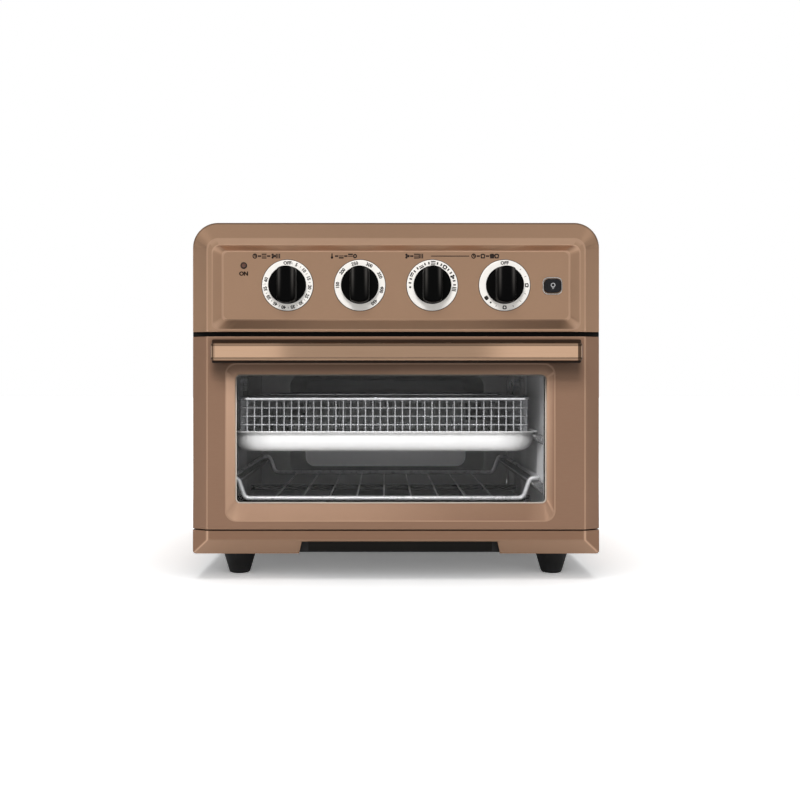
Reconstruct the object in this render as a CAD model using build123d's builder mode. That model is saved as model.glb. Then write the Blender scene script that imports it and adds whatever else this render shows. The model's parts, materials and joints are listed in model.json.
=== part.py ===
from build123d import *
import os

# Air fryer toaster oven, in millimetres.
# +Z is up, +X is to the right seen from the front, and the front faces -Y.
# Depths are measured back from the ridge plane, the foremost plane of the panels.

# Whole oven
body_width = 406.0
body_depth = 340.0
body_top = 355.5
foot_height = 25.0
handle_reach = 34.0
cleat_reach = 20.0

# Sheet metal
cabinet_sheet = 1.0
chassis_sheet = 1.2
cavity_sheet = 1.0
fascia_wall = 2.0
door_sheet = 1.5
wrap_inset = 1.0

# Bevelled front shared by the panel, the door and the base trim
bevel_width = 15.7
bevel_depth = 8.0
bevel_height = 16.0
corner_radius = 25.0
ridge_radius = 11.0
chassis_depth = 16.0

# Control panel and its sunk field
panel_height = 109.3
panel_lip = 2.3
ridge_band_side = 4.9
ridge_band_top = 7.3
recess_depth = 7.0
recess_side_slope = 9.2
recess_top_slope = 5.0
recess_bottom_slope = 9.8
recess_radius = 8.0
recess_floor_radius = 5.0

# Dials and knobs
knob_drop = 62.6
knob_field_margin = 57.6
dial_diameter = 50.8
dial_thickness = 0.8
knob_diameter = 37.5
knob_skirt = 5.6
knob_gap = 0.6
grip_width = 19.5
grip_reach = 13.0
grip_rounding = 2.0
grip_taper = 3.0
pointer_length = 11.0
pointer_width = 1.8
pointer_depth = 0.5
shaft_diameter = 6.0
shaft_bite = 8.0
shaft_clearance = 0.05
shaft_opening = 8.0
bush_diameter = 10.0
bush_reach = 5.0
bush_clearance = 0.2
unit_plate = 1.5
unit_plate_size = 44.0
timer_diameter = 42.0
timer_length = 29.0
thermostat_width = 34.0
thermostat_height = 40.0
thermostat_length = 23.0
function_size = 38.0
function_length = 33.0
terminal_width = 6.3
terminal_length = 8.0
terminal_thickness = 0.8
terminal_pitch = 10.0
shaft_end_room = 2.0
shaft_in_unit = 22.0

# Light button and power lamp
button_inset = 17.0
button_drop = 0.6
button_edge = 1.0
button_opening_width = 17.0
button_opening_height = 13.2
button_clearance = 0.3
button_rounding = 3.0
button_front = 3.6
button_back = 12.0
button_travel = 2.5
bezel_width = 20.0
bezel_height = 18.7
bezel_thickness = 1.4
bezel_sleeve = 0.9
stem_diameter = 5.0
stem_length = 14.0
stem_clearance = 0.1
stem_opening = 8.0
stem_end_room = 1.0
switch_width = 22.0
switch_height = 18.0
switch_length = 17.0
lamp_inset = 21.2
lamp_rise = 19.7
lamp_rounding = 1.15
lamp_diameter = 4.6
lamp_stand = 1.4
lamp_flange = 8.0
lamp_flange_thickness = 1.5
lamp_body_diameter = 6.0
lamp_body_length = 5.0

# Base trim
trim_height = 23.8
trim_face = 9.0
trim_sheet = 1.2
notch_left = -93.5
notch_right = 100.5
notch_slant = 4.5

# Door
trim_gap = 1.4
door_gap = 4.7
door_shell = 10.0
left_stile = 18.3
right_stile = 30.3
top_rail = 27.2
bottom_rail = 8.0
window_radius = 5.0
window_side_slope = 8.0
window_top_slope = 10.3
window_bottom_slope = 16.8
window_slope_radius = 11.0
window_depth = 8.0
gasket_thickness = 0.6
gasket_inset = 1.0
gasket_width = 6.0
glass_thickness = 3.2
glass_overlap = 8.0
liner_rise = 10.8
liner_plate = 1.2
liner_rim = 2.0
liner_edge = 0.5
liner_top_edge = 1.5
liner_overlap = 2.0
liner_radius = 3.0

# Door handle
handle_inset = 13.3
handle_splay = 6.0
handle_drop = 7.5
handle_height = 17.0
handle_thickness = 9.0
handle_rounding = 1.5
leg_thickness = 12.0
leg_inset = 1.0
screw_head = 7.0
screw_head_height = 2.2
handle_screw_diameter = 4.0
handle_screw_length = 14.0
handle_screw_pitch = 8.0

# Door hinge
hinge_depth = 6.0
hinge_rise = 8.0
hinge_inset = 25.0
hinge_pin_diameter = 4.0
hinge_clearance = 0.05
arm_thickness = 3.0
arm_side_clearance = 0.4
eye_radius = 3.5
arm_below = 3.0
arm_above = 2.0
cheek_thickness = 5.0
clevis_rise = 6.8
clevis_depth = 9.5
clevis_slot_radius = 4.2
bracket_foot_width = 20.0
bracket_foot_height = 18.0
bracket_foot_thickness = 1.8
arm_slot_clearance = 0.3

# Cavity
cavity_left_room = 30.0
cavity_right_room = 54.0
cavity_floor_rise = 7.8
cavity_roof_drop = 5.5
cavity_back_room = 28.0
mouth_drop = 6.0
pocket_inset = 34.0
pocket_rise = 16.0
pocket_drop = 30.0
pocket_depth = 12.0
pocket_slope = 8.0
pocket_radius = 14.0
crumb_opening_front = 40.0
crumb_opening_inset = 27.0
crumb_opening_margin = 6.0
ledge_front = 20.0
ledge_end = 4.0
ledge_lip = 2.0
rack_ledge = 10.0
pan_ledge = 7.7
slot_height = 22.0
slot_width = 3.5
slot_pitch = 9.0
slot_count = 5
wall_slot_shift = 5.0
wall_slot_drop = 46.0

# Heating elements
element_diameter = 6.5
element_clearance = 0.25
upper_element_drop = 26.0
lower_element_rise = 10.0
upper_front_depths = (55.0, 105.0)
upper_rear_insets = (87.0, 37.0)
lower_front_depth = 110.0
lower_rear_inset = 97.0
holder_size = 14.0
holder_length = 8.0
element_stub = 3.0

# Fan over the cavity
fan_shift = 9.0
fan_diameter = 124.0
fan_disc_drop = 5.0
fan_disc = 1.0
blade_height = 9.0
blade_thickness = 1.0
blade_count = 8
hub_diameter = 16.0
fan_shaft_diameter = 5.0
fan_shaft_rise = 26.0
fan_bearing_clearance = 0.05
fan_roof_clearance = 1.5
guard_size = 168.0
guard_drop = 19.0
guard_sheet = 1.2
guard_radius = 12.0
guard_slot_width = 4.0
guard_slot_pitch = 10.0
guard_slot_count = 12
guard_slot_length = 118.0
guard_post = 8.0
guard_post_inset = 10.0
motor_diameter = 56.0
motor_rise = 9.0
motor_length = 34.0
motor_neck = 14.0
motor_neck_length = 5.0
motor_strap_width = 34.0
motor_strap_length = 84.0
motor_strap = 1.5

# Cavity lamp and heat sensor
cavity_lamp_inset = 50.0
cavity_lamp_drop = 58.0
cavity_lamp_opening = 36.0
lens_diameter = 44.0
lens_thickness = 2.5
lens_rounding = 2.0
housing_diameter = 40.0
housing_length = 24.0
bulb_diameter = 18.0
bulb_neck_diameter = 12.0
bulb_neck_length = 6.0
sensor_diameter = 4.0
sensor_length = 86.0
sensor_drop = 13.0
sensor_front = 60.0
sensor_stand = 7.0
sensor_clip = 6.0
sensor_clip_height = 2.0

# Bottom plate, rear panel, feet and fasteners
tray_rib_width = 8.0
tray_rib_spread = 60.0
bottom_vent_width = 5.0
bottom_vent_length = 60.0
bottom_vent_pitch = 16.0
bottom_vent_count = 6
vent_width = 4.0
vent_height = 44.0
vent_pitch = 9.5
vent_count = 10
vent_drop = 49.5
vent_inset = 115.0
rear_vent_drop = 55.5
rear_vent_count = 18
flange_width = 12.0
gland_inset = 53.0
gland_rise = 37.0
gland_flange = 18.0
gland_flange_thickness = 3.0
gland_neck = 12.0
gland_bore = 7.2
cleat_inset = 93.0
cleat_z = 170.0
cleat_post_width = 14.0
cleat_post_height = 34.0
cleat_plate_width = 24.0
cleat_plate_height = 62.0
cleat_plate_thickness = 6.0
cleat_rounding = 6.0
foot_inset = 41.0
front_foot_depth = 43.5
rear_foot_inset = 40.0
foot_top_radius = 16.9
foot_bottom_radius = 10.4
screw_inset = 8.0
screw_rises = (23.0, 165.0)
screw_drop = 37.5
screw_diameter = 3.2
screw_shank = 3.0

# Oven rack
rack_front = 30.0
rack_end = 7.5
rack_rise = 20.5
rack_inset = 18.6
rack_turn_inset = 14.0
rack_rail_inset = 6.0
rail_diameter = 4.0
side_rail_diameter = 4.4
side_rail_rise = 18.1
rack_bend = 4.0
rack_wire_diameter = 2.0
rack_wire_margin = 3.9
rack_wire_overhang = 1.0
rack_wire_count = 11
rack_brace_front = 120.0
rack_brace_inset = 97.0
rack_brace_diameter = 3.0
weld_bite = 0.4
ledge_gap = 0.3

# Baking pan
pan_front = 31.0
pan_end = 21.0
pan_inset = 9.5
pan_rise = 67.0
pan_height = 19.7
pan_draft = 4.5
pan_radius = 18.0
pan_sheet = 1.0
pan_flange = 6.5
pan_lip = 2.0

# Air fry basket
basket_end_inset = 10.0
basket_side_inset = 9.5
basket_rise = 34.7
basket_wire = 4.0
basket_corner = 10.0
basket_gap = 0.3
net_thickness = 1.2
net_rim_gap = 0.1
net_strand = 2.0
net_columns = 14
net_rows = 10
net_wall_rows = 2

# Crumb tray
tray_half = 90.0
tray_x = 4.0
tray_rise = 4.0
tray_height = 9.0
tray_end = 20.0
tray_sheet = 1.0
tray_lip_front = 0.8
tray_lip_thickness = 2.2
tray_lip_half = 91.0
tray_clearance = 1.0
tray_gap = 0.3

# Worked out from the sizes above
half_width = body_width / 2
front_y = handle_reach - (handle_reach + body_depth + cleat_reach) / 2
ridge_half = half_width - bevel_width
ridge_top = body_top - bevel_height
wrap_half = half_width - wrap_inset
wrap_top = body_top - wrap_inset
wrap_radius = corner_radius - wrap_inset
wrap_front = chassis_depth + chassis_sheet
wrap_back = body_depth - chassis_sheet
panel_bottom = body_top - panel_height
recess_half = ridge_half - ridge_band_side
floor_half = recess_half - recess_side_slope
recess_low = panel_bottom + panel_lip
recess_high = ridge_top - ridge_band_top
panel_floor = recess_depth
panel_back = recess_depth + fascia_wall
knob_height = body_top - knob_drop
knob_pitch = (2 * floor_half - knob_field_margin) / 4
button_x = floor_half - button_inset
button_z = knob_height - button_drop
lamp_x = -(floor_half - lamp_inset)
lamp_z = knob_height + lamp_rise
trim_top = foot_height + trim_height
trim_fold = trim_top - trim_face
door_bottom = trim_top + trim_gap
door_top = panel_bottom - door_gap
slope_left = -(ridge_half - left_stile)
slope_right = ridge_half - right_stile
slope_low = door_bottom + bottom_rail
slope_high = door_top - top_rail
window_left = slope_left + window_side_slope
window_right = slope_right - window_side_slope
window_low = slope_low + window_bottom_slope
window_high = slope_high - window_top_slope
handle_half = ridge_half - handle_inset
handle_high = door_top - handle_drop
handle_low = handle_high - handle_height
hinge_x = half_width - hinge_inset
hinge_z = door_bottom + hinge_rise
clevis_top = hinge_z + clevis_rise
liner_bottom = door_bottom + liner_rise
glass_front = door_shell + gasket_thickness
glass_back = glass_front + glass_thickness
door_back = glass_back + liner_plate
cavity_left = -(half_width - cavity_left_room)
cavity_right = half_width - cavity_right_room
cavity_x = (cavity_left + cavity_right) / 2
cavity_half = (cavity_right - cavity_left) / 2
cavity_back = body_depth - cavity_back_room
cavity_floor_z = door_bottom + cavity_floor_rise
cavity_roof_z = door_top - cavity_roof_drop
mouth_top = cavity_roof_z - mouth_drop
pocket_half = cavity_half - pocket_inset
pocket_low = cavity_floor_z + pocket_rise
pocket_high = cavity_roof_z - pocket_drop
crumb_opening_back = cavity_back - crumb_opening_inset
ledge_back = cavity_back - ledge_end
cavity_low = cavity_floor_z - cavity_sheet
cavity_high = cavity_roof_z + cavity_sheet
bottom_top = foot_height + chassis_sheet
knob_front = panel_floor - dial_thickness - knob_gap - knob_skirt
knob_places = (
    ("oven_timer", -1.5 * knob_pitch),
    ("temperature", -0.5 * knob_pitch),
    ("function", 0.5 * knob_pitch),
    ("toast_timer", 1.5 * knob_pitch),
)
upper_element_z = cavity_roof_z - upper_element_drop
lower_element_z = cavity_floor_z + lower_element_rise
upper_element_depths = upper_front_depths + tuple(cavity_back - inset for inset in upper_rear_insets)
lower_element_depths = (lower_front_depth, cavity_back - lower_rear_inset)
fan_depth = cavity_back / 2 + fan_shift
fan_disc_z = cavity_roof_z - fan_disc_drop
fan_shaft_top = cavity_roof_z + fan_shaft_rise
guard_z = cavity_roof_z - guard_drop
motor_low = cavity_roof_z + motor_rise
wall_slot_depth = fan_depth + wall_slot_shift
wall_slot_z = cavity_roof_z - wall_slot_drop
cavity_lamp_depth = cavity_back - cavity_lamp_inset
cavity_lamp_z = cavity_roof_z - cavity_lamp_drop
sensor_z = cavity_roof_z - sensor_drop
vent_z = body_top - vent_drop
vent_depth = body_depth - vent_inset
rear_vent_z = body_top - rear_vent_drop
gland_x = half_width - gland_inset
gland_z = foot_height + gland_rise
cleat_x = half_width - cleat_inset
foot_x = half_width - foot_inset
rear_foot_depth = body_depth - rear_foot_inset
screw_x = half_width - screw_inset
screw_heights = tuple(foot_height + rise for rise in screw_rises) + (body_top - screw_drop,)
rack_back = cavity_back - rack_end
rack_z = cavity_floor_z + rack_rise
rack_half = cavity_half - rack_inset
rack_turn_half = cavity_half - rack_turn_inset
rack_rail_half = cavity_half - rack_rail_inset
rack_wire_pitch = 2 * (rack_half - rack_wire_margin) / (rack_wire_count - 1)
rack_brace_depths = (rack_brace_front, cavity_back - rack_brace_inset)
side_rail_z = rack_z + side_rail_rise
pan_back = cavity_back - pan_end
pan_half = cavity_half - pan_inset
pan_floor_z = cavity_floor_z + pan_rise
pan_rim_z = pan_floor_z + pan_height
basket_front = pan_front + basket_end_inset
basket_back = pan_back - basket_end_inset
basket_half = pan_half - basket_side_inset
basket_rim_z = pan_rim_z + basket_rise
tray_low = foot_height + tray_rise
tray_high = tray_low + tray_height
tray_back = cavity_back - tray_end
notch_top = tray_high
rack_ledge_z = side_rail_z - side_rail_diameter / 2 - ledge_gap
pan_flange_low = pan_rim_z - pan_sheet
pan_ledge_z = pan_rim_z - pan_lip - ledge_gap
basket_low = pan_floor_z + pan_sheet + basket_gap
basket_wall_top = basket_rim_z - basket_wire - net_rim_gap
basket_y_middle = front_y + (basket_front + basket_back) / 2

os.makedirs("parts", exist_ok=True)


def facing(depth):
    """Upright plane seen from the front, the given depth behind the ridge plane."""
    return Plane.XZ.offset(-(front_y + depth))


def bounded(left, right, low, high, radius=0.0, mode=Mode.ADD):
    """Rectangle between four bounds in the sketch in hand, with round corners where a radius is given."""
    with Locations(((left + right) / 2, (low + high) / 2)):
        if radius:
            RectangleRounded(right - left, high - low, radius, mode=mode)
        else:
            Rectangle(right - left, high - low, mode=mode)


def block(left, right, front, back, low, high, mode=Mode.ADD):
    """Box between bounds in the part in hand; front and back are depths."""
    middle = ((left + right) / 2, front_y + (front + back) / 2, (low + high) / 2)
    with Locations(middle):
        Box(right - left, back - front, high - low, mode=mode)


def rod(start, end, diameter, mode=Mode.ADD):
    """Round bar between two points (x, depth, z) in the part in hand."""
    tail = Vector(start[0], front_y + start[1], start[2])
    head = Vector(end[0], front_y + end[1], end[2])
    with Locations(Plane(origin=tail, z_dir=head - tail)):
        Cylinder(
            diameter / 2,
            (head - tail).length,
            align=(Align.CENTER, Align.CENTER, Align.MIN),
            mode=mode,
        )


def arch(half, low, high, radius):
    """Sketch of a rectangle whose two top corners are round."""
    with BuildSketch() as outline:
        with Locations((0, (low + high) / 2)):
            Rectangle(2 * half, high - low)
        fillet(outline.vertices().group_by(Axis.Y)[-1], radius)
    return outline.sketch


cabinet_outline = arch(wrap_half, foot_height, wrap_top, wrap_radius)
cabinet_inside = arch(
    wrap_half - cabinet_sheet, foot_height, wrap_top - cabinet_sheet, wrap_radius - cabinet_sheet
)

# Outer wrap: one folded sheet for both sides and the top, with a flange for the rear panel
with BuildPart() as outer_wrap:
    with BuildSketch(facing(wrap_front)):
        add(cabinet_outline)
        add(cabinet_inside, mode=Mode.SUBTRACT)
    extrude(amount=-(wrap_back - wrap_front))
    with BuildSketch(facing(wrap_back)):
        add(cabinet_inside)
        bounded(
            -(wrap_half - flange_width),
            wrap_half - flange_width,
            foot_height,
            wrap_top - flange_width,
            mode=Mode.SUBTRACT,
        )
    extrude(amount=cabinet_sheet)
    with BuildSketch(Plane.YZ.offset(-half_width)):
        with Locations((front_y + vent_depth, vent_z)):
            with GridLocations(vent_pitch, 0, vent_count, 1):
                Rectangle(vent_width, vent_height)
    extrude(amount=body_width, mode=Mode.SUBTRACT)
    for side in (-1, 1):
        for height in screw_heights:
            rod(
                (side * screw_x, wrap_back - flange_width, height),
                (side * screw_x, wrap_back, height),
                screw_diameter,
                Mode.SUBTRACT,
            )
outer_wrap.part.label = "outer_wrap"
export_step(outer_wrap.part, "parts/outer_wrap.step")

# Rear panel with a vent field and the hole for the cord gland
with BuildPart() as rear_panel:
    with BuildSketch(facing(wrap_back)):
        add(cabinet_outline)
        with Locations((0, rear_vent_z)):
            with GridLocations(vent_pitch, 0, rear_vent_count, 1):
                Rectangle(vent_width, vent_height, mode=Mode.SUBTRACT)
        with Locations((gland_x, gland_z)):
            Circle(gland_neck / 2, mode=Mode.SUBTRACT)
        for side in (-1, 1):
            with Locations(*[(side * screw_x, height) for height in screw_heights]):
                Circle(screw_diameter / 2, mode=Mode.SUBTRACT)
    extrude(amount=-chassis_sheet)
rear_panel.part.label = "rear_panel"
export_step(rear_panel.part, "parts/rear_panel.step")

# Bottom plate with vents and two raised ribs that carry the crumb tray
with BuildPart() as bottom_plate:
    block(
        -(wrap_half - cabinet_sheet),
        wrap_half - cabinet_sheet,
        wrap_front,
        wrap_back - cabinet_sheet,
        foot_height,
        bottom_top,
    )
    for side in (-1, 1):
        rib_x = tray_x + side * tray_rib_spread
        block(
            rib_x - tray_rib_width / 2,
            rib_x + tray_rib_width / 2,
            wrap_front,
            tray_back,
            bottom_top,
            tray_low - tray_gap,
        )
        with BuildSketch(Plane.XY.offset(foot_height)):
            with Locations((side * (wrap_half - bottom_vent_length), front_y + body_depth / 2)):
                with GridLocations(0, bottom_vent_pitch, 1, bottom_vent_count):
                    Rectangle(bottom_vent_length, bottom_vent_width)
        extrude(amount=chassis_sheet, mode=Mode.SUBTRACT)
bottom_plate.part.label = "bottom_plate"
export_step(bottom_plate.part, "parts/bottom_plate.step")

# Control panel: bevelled frame, sunk field with sloped sides, open at the back
with BuildPart() as control_panel:
    with BuildSketch(facing(0)):
        add(arch(ridge_half, panel_bottom, ridge_top, ridge_radius))
    with BuildSketch(facing(bevel_depth)):
        add(arch(half_width, panel_bottom, body_top, corner_radius))
    loft(ruled=True)
    with BuildSketch(facing(bevel_depth)):
        add(arch(half_width, panel_bottom, body_top, corner_radius))
    extrude(amount=-(chassis_depth - bevel_depth))
    with BuildSketch(facing(0)):
        bounded(-recess_half, recess_half, recess_low, recess_high, recess_radius)
    with BuildSketch(facing(panel_floor)):
        bounded(
            -floor_half,
            floor_half,
            recess_low + recess_bottom_slope,
            recess_high - recess_top_slope,
            recess_floor_radius,
        )
    loft(ruled=True, mode=Mode.SUBTRACT)
    with BuildSketch(facing(chassis_depth)):
        add(
            arch(
                half_width - fascia_wall,
                panel_bottom + fascia_wall,
                body_top - fascia_wall,
                corner_radius - fascia_wall,
            )
        )
    extrude(amount=chassis_depth - panel_back, mode=Mode.SUBTRACT)
    with BuildSketch(facing(panel_back)):
        with Locations(*[(x, knob_height) for name, x in knob_places]):
            Circle(shaft_opening / 2)
        with Locations((lamp_x, lamp_z)):
            Circle(lamp_diameter / 2)
        with Locations((button_x, button_z)):
            Rectangle(
                button_opening_width + 2 * bezel_sleeve, button_opening_height + 2 * bezel_sleeve
            )
    extrude(amount=fascia_wall, mode=Mode.SUBTRACT)
control_panel.part.label = "control_panel"
export_step(control_panel.part, "parts/control_panel.step")

# Dial plates: four thin printed discs behind the knobs
with BuildPart() as dial_plates:
    with BuildSketch(facing(panel_floor)):
        with Locations(*[(x, knob_height) for name, x in knob_places]):
            Circle(dial_diameter / 2)
            Circle(shaft_opening / 2, mode=Mode.SUBTRACT)
    extrude(amount=dial_thickness)
dial_plates.part.label = "dial_plates"
export_step(dial_plates.part, "parts/dial_plates.step")

# Knobs: a round skirt with an upright grip bar and a pointer groove, on steel shafts
for name, x in knob_places:
    with BuildPart() as knob:
        with BuildSketch(facing(knob_front + knob_skirt)):
            with Locations((x, knob_height)):
                Circle(knob_diameter / 2)
        extrude(amount=knob_skirt)
        with BuildSketch(facing(knob_front)):
            with Locations((x, knob_height)):
                Circle(knob_diameter / 2)
                Rectangle(grip_width, knob_diameter, mode=Mode.INTERSECT)
        extrude(amount=grip_reach, taper=grip_taper)
        fillet(knob.faces().sort_by(Axis.Y)[0].edges(), grip_rounding)
        pointer_top = knob_height + knob_diameter / 2 - 2 * grip_rounding
        block(
            x - pointer_width / 2,
            x + pointer_width / 2,
            knob_front - grip_reach,
            knob_front - grip_reach + pointer_depth,
            pointer_top - pointer_length,
            pointer_top,
            Mode.SUBTRACT,
        )
        rod(
            (x, knob_front - shaft_bite, knob_height),
            (x, knob_front + knob_skirt, knob_height),
            shaft_diameter,
            Mode.SUBTRACT,
        )
    knob.part.label = f"{name}_knob"
    export_step(knob.part, f"parts/{name}_knob.step")

    with BuildPart() as shaft:
        rod(
            (x, knob_front - shaft_bite, knob_height),
            (x, wrap_front + shaft_in_unit, knob_height),
            shaft_diameter,
        )
    shaft.part.label = f"{name}_shaft"
    export_step(shaft.part, f"parts/{name}_shaft.step")


def control_unit(x, width, height):
    """Mounting plate and bush of a control, behind the chassis, in the part in hand."""
    block(
        x - width / 2,
        x + width / 2,
        wrap_front,
        wrap_front + unit_plate,
        knob_height - height / 2,
        knob_height + height / 2,
    )
    rod(
        (x, chassis_depth - bush_reach, knob_height),
        (x, wrap_front + unit_plate, knob_height),
        bush_diameter,
    )


def shaft_bore(x):
    """Running bore for a control's shaft, blind at the back, in the part in hand."""
    rod(
        (x, chassis_depth - bush_reach, knob_height),
        (x, wrap_front + shaft_in_unit + shaft_end_room, knob_height),
        shaft_diameter + 2 * shaft_clearance,
        Mode.SUBTRACT,
    )


def terminals(x, back, count):
    """Row of flat blades on the back of a control, in the part in hand."""
    for index in range(count):
        blade_z = knob_height + (index - (count - 1) / 2) * terminal_pitch
        block(
            x - terminal_width / 2,
            x + terminal_width / 2,
            back,
            back + terminal_length,
            blade_z - terminal_thickness / 2,
            blade_z + terminal_thickness / 2,
        )


unit_face = wrap_front + unit_plate

# Clockwork timers: round cans on a mounting plate
for name, x in (knob_places[0], knob_places[3]):
    with BuildPart() as timer:
        control_unit(x, unit_plate_size, unit_plate_size)
        rod(
            (x, unit_face, knob_height), (x, unit_face + timer_length, knob_height), timer_diameter
        )
        terminals(x, unit_face + timer_length, 2)
        shaft_bore(x)
    timer.part.label = f"{name}_unit"
    export_step(timer.part, f"parts/{name}_unit.step")

# Thermostat: switch body with two terminals
with BuildPart() as thermostat_unit:
    thermostat_x = knob_places[1][1]
    control_unit(thermostat_x, thermostat_width, unit_plate_size)
    block(
        thermostat_x - thermostat_width / 2,
        thermostat_x + thermostat_width / 2,
        unit_face,
        unit_face + thermostat_length,
        knob_height - thermostat_height / 2,
        knob_height + thermostat_height / 2,
    )
    terminals(thermostat_x, unit_face + thermostat_length, 2)
    shaft_bore(thermostat_x)
thermostat_unit.part.label = "thermostat_unit"
export_step(thermostat_unit.part, "parts/thermostat_unit.step")

# Function switch: stacked rotary wafers with four terminals
with BuildPart() as function_switch_unit:
    function_x = knob_places[2][1]
    control_unit(function_x, function_size, unit_plate_size)
    block(
        function_x - function_size / 2,
        function_x + function_size / 2,
        unit_face,
        unit_face + function_length,
        knob_height - function_size / 2,
        knob_height + function_size / 2,
    )
    terminals(function_x, unit_face + function_length, 4)
    shaft_bore(function_x)
function_switch_unit.part.label = "function_switch_unit"
export_step(function_switch_unit.part, "parts/function_switch_unit.step")

# Light button bezel: flange on the panel and a sleeve through it
with BuildPart() as light_button_bezel:
    with BuildSketch(facing(panel_floor)):
        with Locations((button_x, button_z)):
            RectangleRounded(bezel_width, bezel_height, button_rounding)
    extrude(amount=bezel_thickness)
    with BuildSketch(facing(panel_floor)):
        with Locations((button_x, button_z)):
            Rectangle(
                button_opening_width + 2 * bezel_sleeve, button_opening_height + 2 * bezel_sleeve
            )
    extrude(amount=-(button_back - panel_floor))
    with BuildSketch(facing(button_back)):
        with Locations((button_x, button_z)):
            RectangleRounded(button_opening_width, button_opening_height, button_rounding)
    extrude(amount=button_back, mode=Mode.SUBTRACT)
light_button_bezel.part.label = "light_button_bezel"
export_step(light_button_bezel.part, "parts/light_button_bezel.step")

# Light button: rounded cap with a stem that works the switch
with BuildPart() as light_button:
    with BuildSketch(facing(button_back)):
        with Locations((button_x, button_z)):
            RectangleRounded(
                button_opening_width - 2 * button_clearance,
                button_opening_height - 2 * button_clearance,
                button_rounding - button_clearance,
            )
    extrude(amount=button_back - button_front)
    fillet(light_button.faces().sort_by(Axis.Y)[0].edges(), button_edge)
    rod(
        (button_x, button_back, button_z),
        (button_x, button_back + stem_length, button_z),
        stem_diameter,
    )
light_button.part.label = "light_button"
export_step(light_button.part, "parts/light_button.step")

# Light switch behind the chassis, bored for the button's stem
with BuildPart() as light_switch_unit:
    block(
        button_x - switch_width / 2,
        button_x + switch_width / 2,
        wrap_front,
        wrap_front + switch_length,
        button_z - switch_height / 2,
        button_z + switch_height / 2,
    )
    rod(
        (button_x, wrap_front, button_z),
        (button_x, button_back + stem_length + button_travel + stem_end_room, button_z),
        stem_diameter + 2 * stem_clearance,
        Mode.SUBTRACT,
    )
light_switch_unit.part.label = "light_switch_unit"
export_step(light_switch_unit.part, "parts/light_switch_unit.step")

# Power lamp: domed lens with a flange behind the panel
with BuildPart() as power_lamp:
    rod(
        (lamp_x, panel_floor - lamp_stand, lamp_z), (lamp_x, panel_back, lamp_z), lamp_diameter
    )
    fillet(power_lamp.faces().sort_by(Axis.Y)[0].edges(), lamp_rounding)
    rod(
        (lamp_x, panel_back, lamp_z),
        (lamp_x, panel_back + lamp_flange_thickness, lamp_z),
        lamp_flange,
    )
    rod(
        (lamp_x, panel_back + lamp_flange_thickness, lamp_z),
        (lamp_x, panel_back + lamp_flange_thickness + lamp_body_length, lamp_z),
        lamp_body_diameter,
    )
power_lamp.part.label = "power_lamp"
export_step(power_lamp.part, "parts/power_lamp.step")


def trim_body(inset):
    """Solid of the base trim, drawn in by a wall thickness; used for its outside and its inside."""
    half = half_width - inset
    with BuildPart() as body:
        with BuildSketch(Plane.YZ.offset(-half)):
            with BuildLine():
                Polyline(
                    (front_y + inset, trim_top + inset),
                    (front_y + inset, trim_fold + inset / 2),
                    (front_y + bevel_depth + inset, foot_height + inset),
                    (front_y + chassis_depth, foot_height + inset),
                    (front_y + chassis_depth, trim_top + inset),
                    close=True,
                )
            make_face()
        extrude(amount=2 * half)
        for side in (-1, 1):
            with BuildSketch(Plane.XY.offset(foot_height)):
                with BuildLine():
                    Polyline(
                        (side * (ridge_half - inset), front_y),
                        (side * (half_width - inset), front_y + bevel_depth),
                        (side * (half_width + bevel_width), front_y + bevel_depth),
                        (side * (half_width + bevel_width), front_y),
                        close=True,
                    )
                make_face()
            extrude(amount=trim_top, mode=Mode.SUBTRACT)
    return body.part


# Base trim: folded strip under the door, notched for the crumb tray
with BuildPart() as base_trim:
    add(trim_body(0))
    add(trim_body(trim_sheet), mode=Mode.SUBTRACT)
    with BuildSketch(facing(bevel_depth + trim_sheet)):
        with BuildLine():
            Polyline(
                (notch_left, foot_height),
                (notch_left + notch_slant, notch_top),
                (notch_right - notch_slant, notch_top),
                (notch_right, foot_height),
                close=True,
            )
        make_face()
    extrude(amount=bevel_depth + trim_sheet, mode=Mode.SUBTRACT)
base_trim.part.label = "base_trim"
export_step(base_trim.part, "parts/base_trim.step")

# Front frame: chassis plate with the cavity mouth and the holes for controls, hinges and tray
with BuildPart() as front_frame:
    with BuildSketch(facing(chassis_depth)):
        add(cabinet_outline)
        bounded(
            cavity_left, cavity_right, cavity_floor_z, mouth_top, liner_radius, mode=Mode.SUBTRACT
        )
        with Locations(*[(x, knob_height) for name, x in knob_places]):
            Circle(bush_diameter / 2 + bush_clearance, mode=Mode.SUBTRACT)
        with Locations((button_x, button_z)):
            Circle(stem_opening / 2, mode=Mode.SUBTRACT)
        bounded(
            tray_x - tray_half - tray_clearance,
            tray_x + tray_half + tray_clearance,
            bottom_top,
            tray_high + tray_clearance,
            mode=Mode.SUBTRACT,
        )
        for side in (-1, 1):
            bounded(
                side * hinge_x - arm_thickness / 2 - arm_slot_clearance,
                side * hinge_x + arm_thickness / 2 + arm_slot_clearance,
                hinge_z - arm_below - arm_slot_clearance,
                hinge_z + arm_above + arm_slot_clearance,
                mode=Mode.SUBTRACT,
            )
    extrude(amount=-chassis_sheet)
front_frame.part.label = "front_frame"
export_step(front_frame.part, "parts/front_frame.step")


def ledge(wall_x, inward, reach, top):
    """Pressed rib along a cavity wall, flat on top and sloped below, in the part in hand."""
    with BuildSketch(facing(ledge_front)) as profile:
        with BuildLine():
            Polyline(
                (wall_x, top),
                (wall_x + inward * reach, top),
                (wall_x + inward * reach, top - ledge_lip),
                (wall_x, top - ledge_lip - reach),
                close=True,
            )
        make_face()
    extrude(profile.sketch, amount=-(ledge_back - ledge_front))


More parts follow.
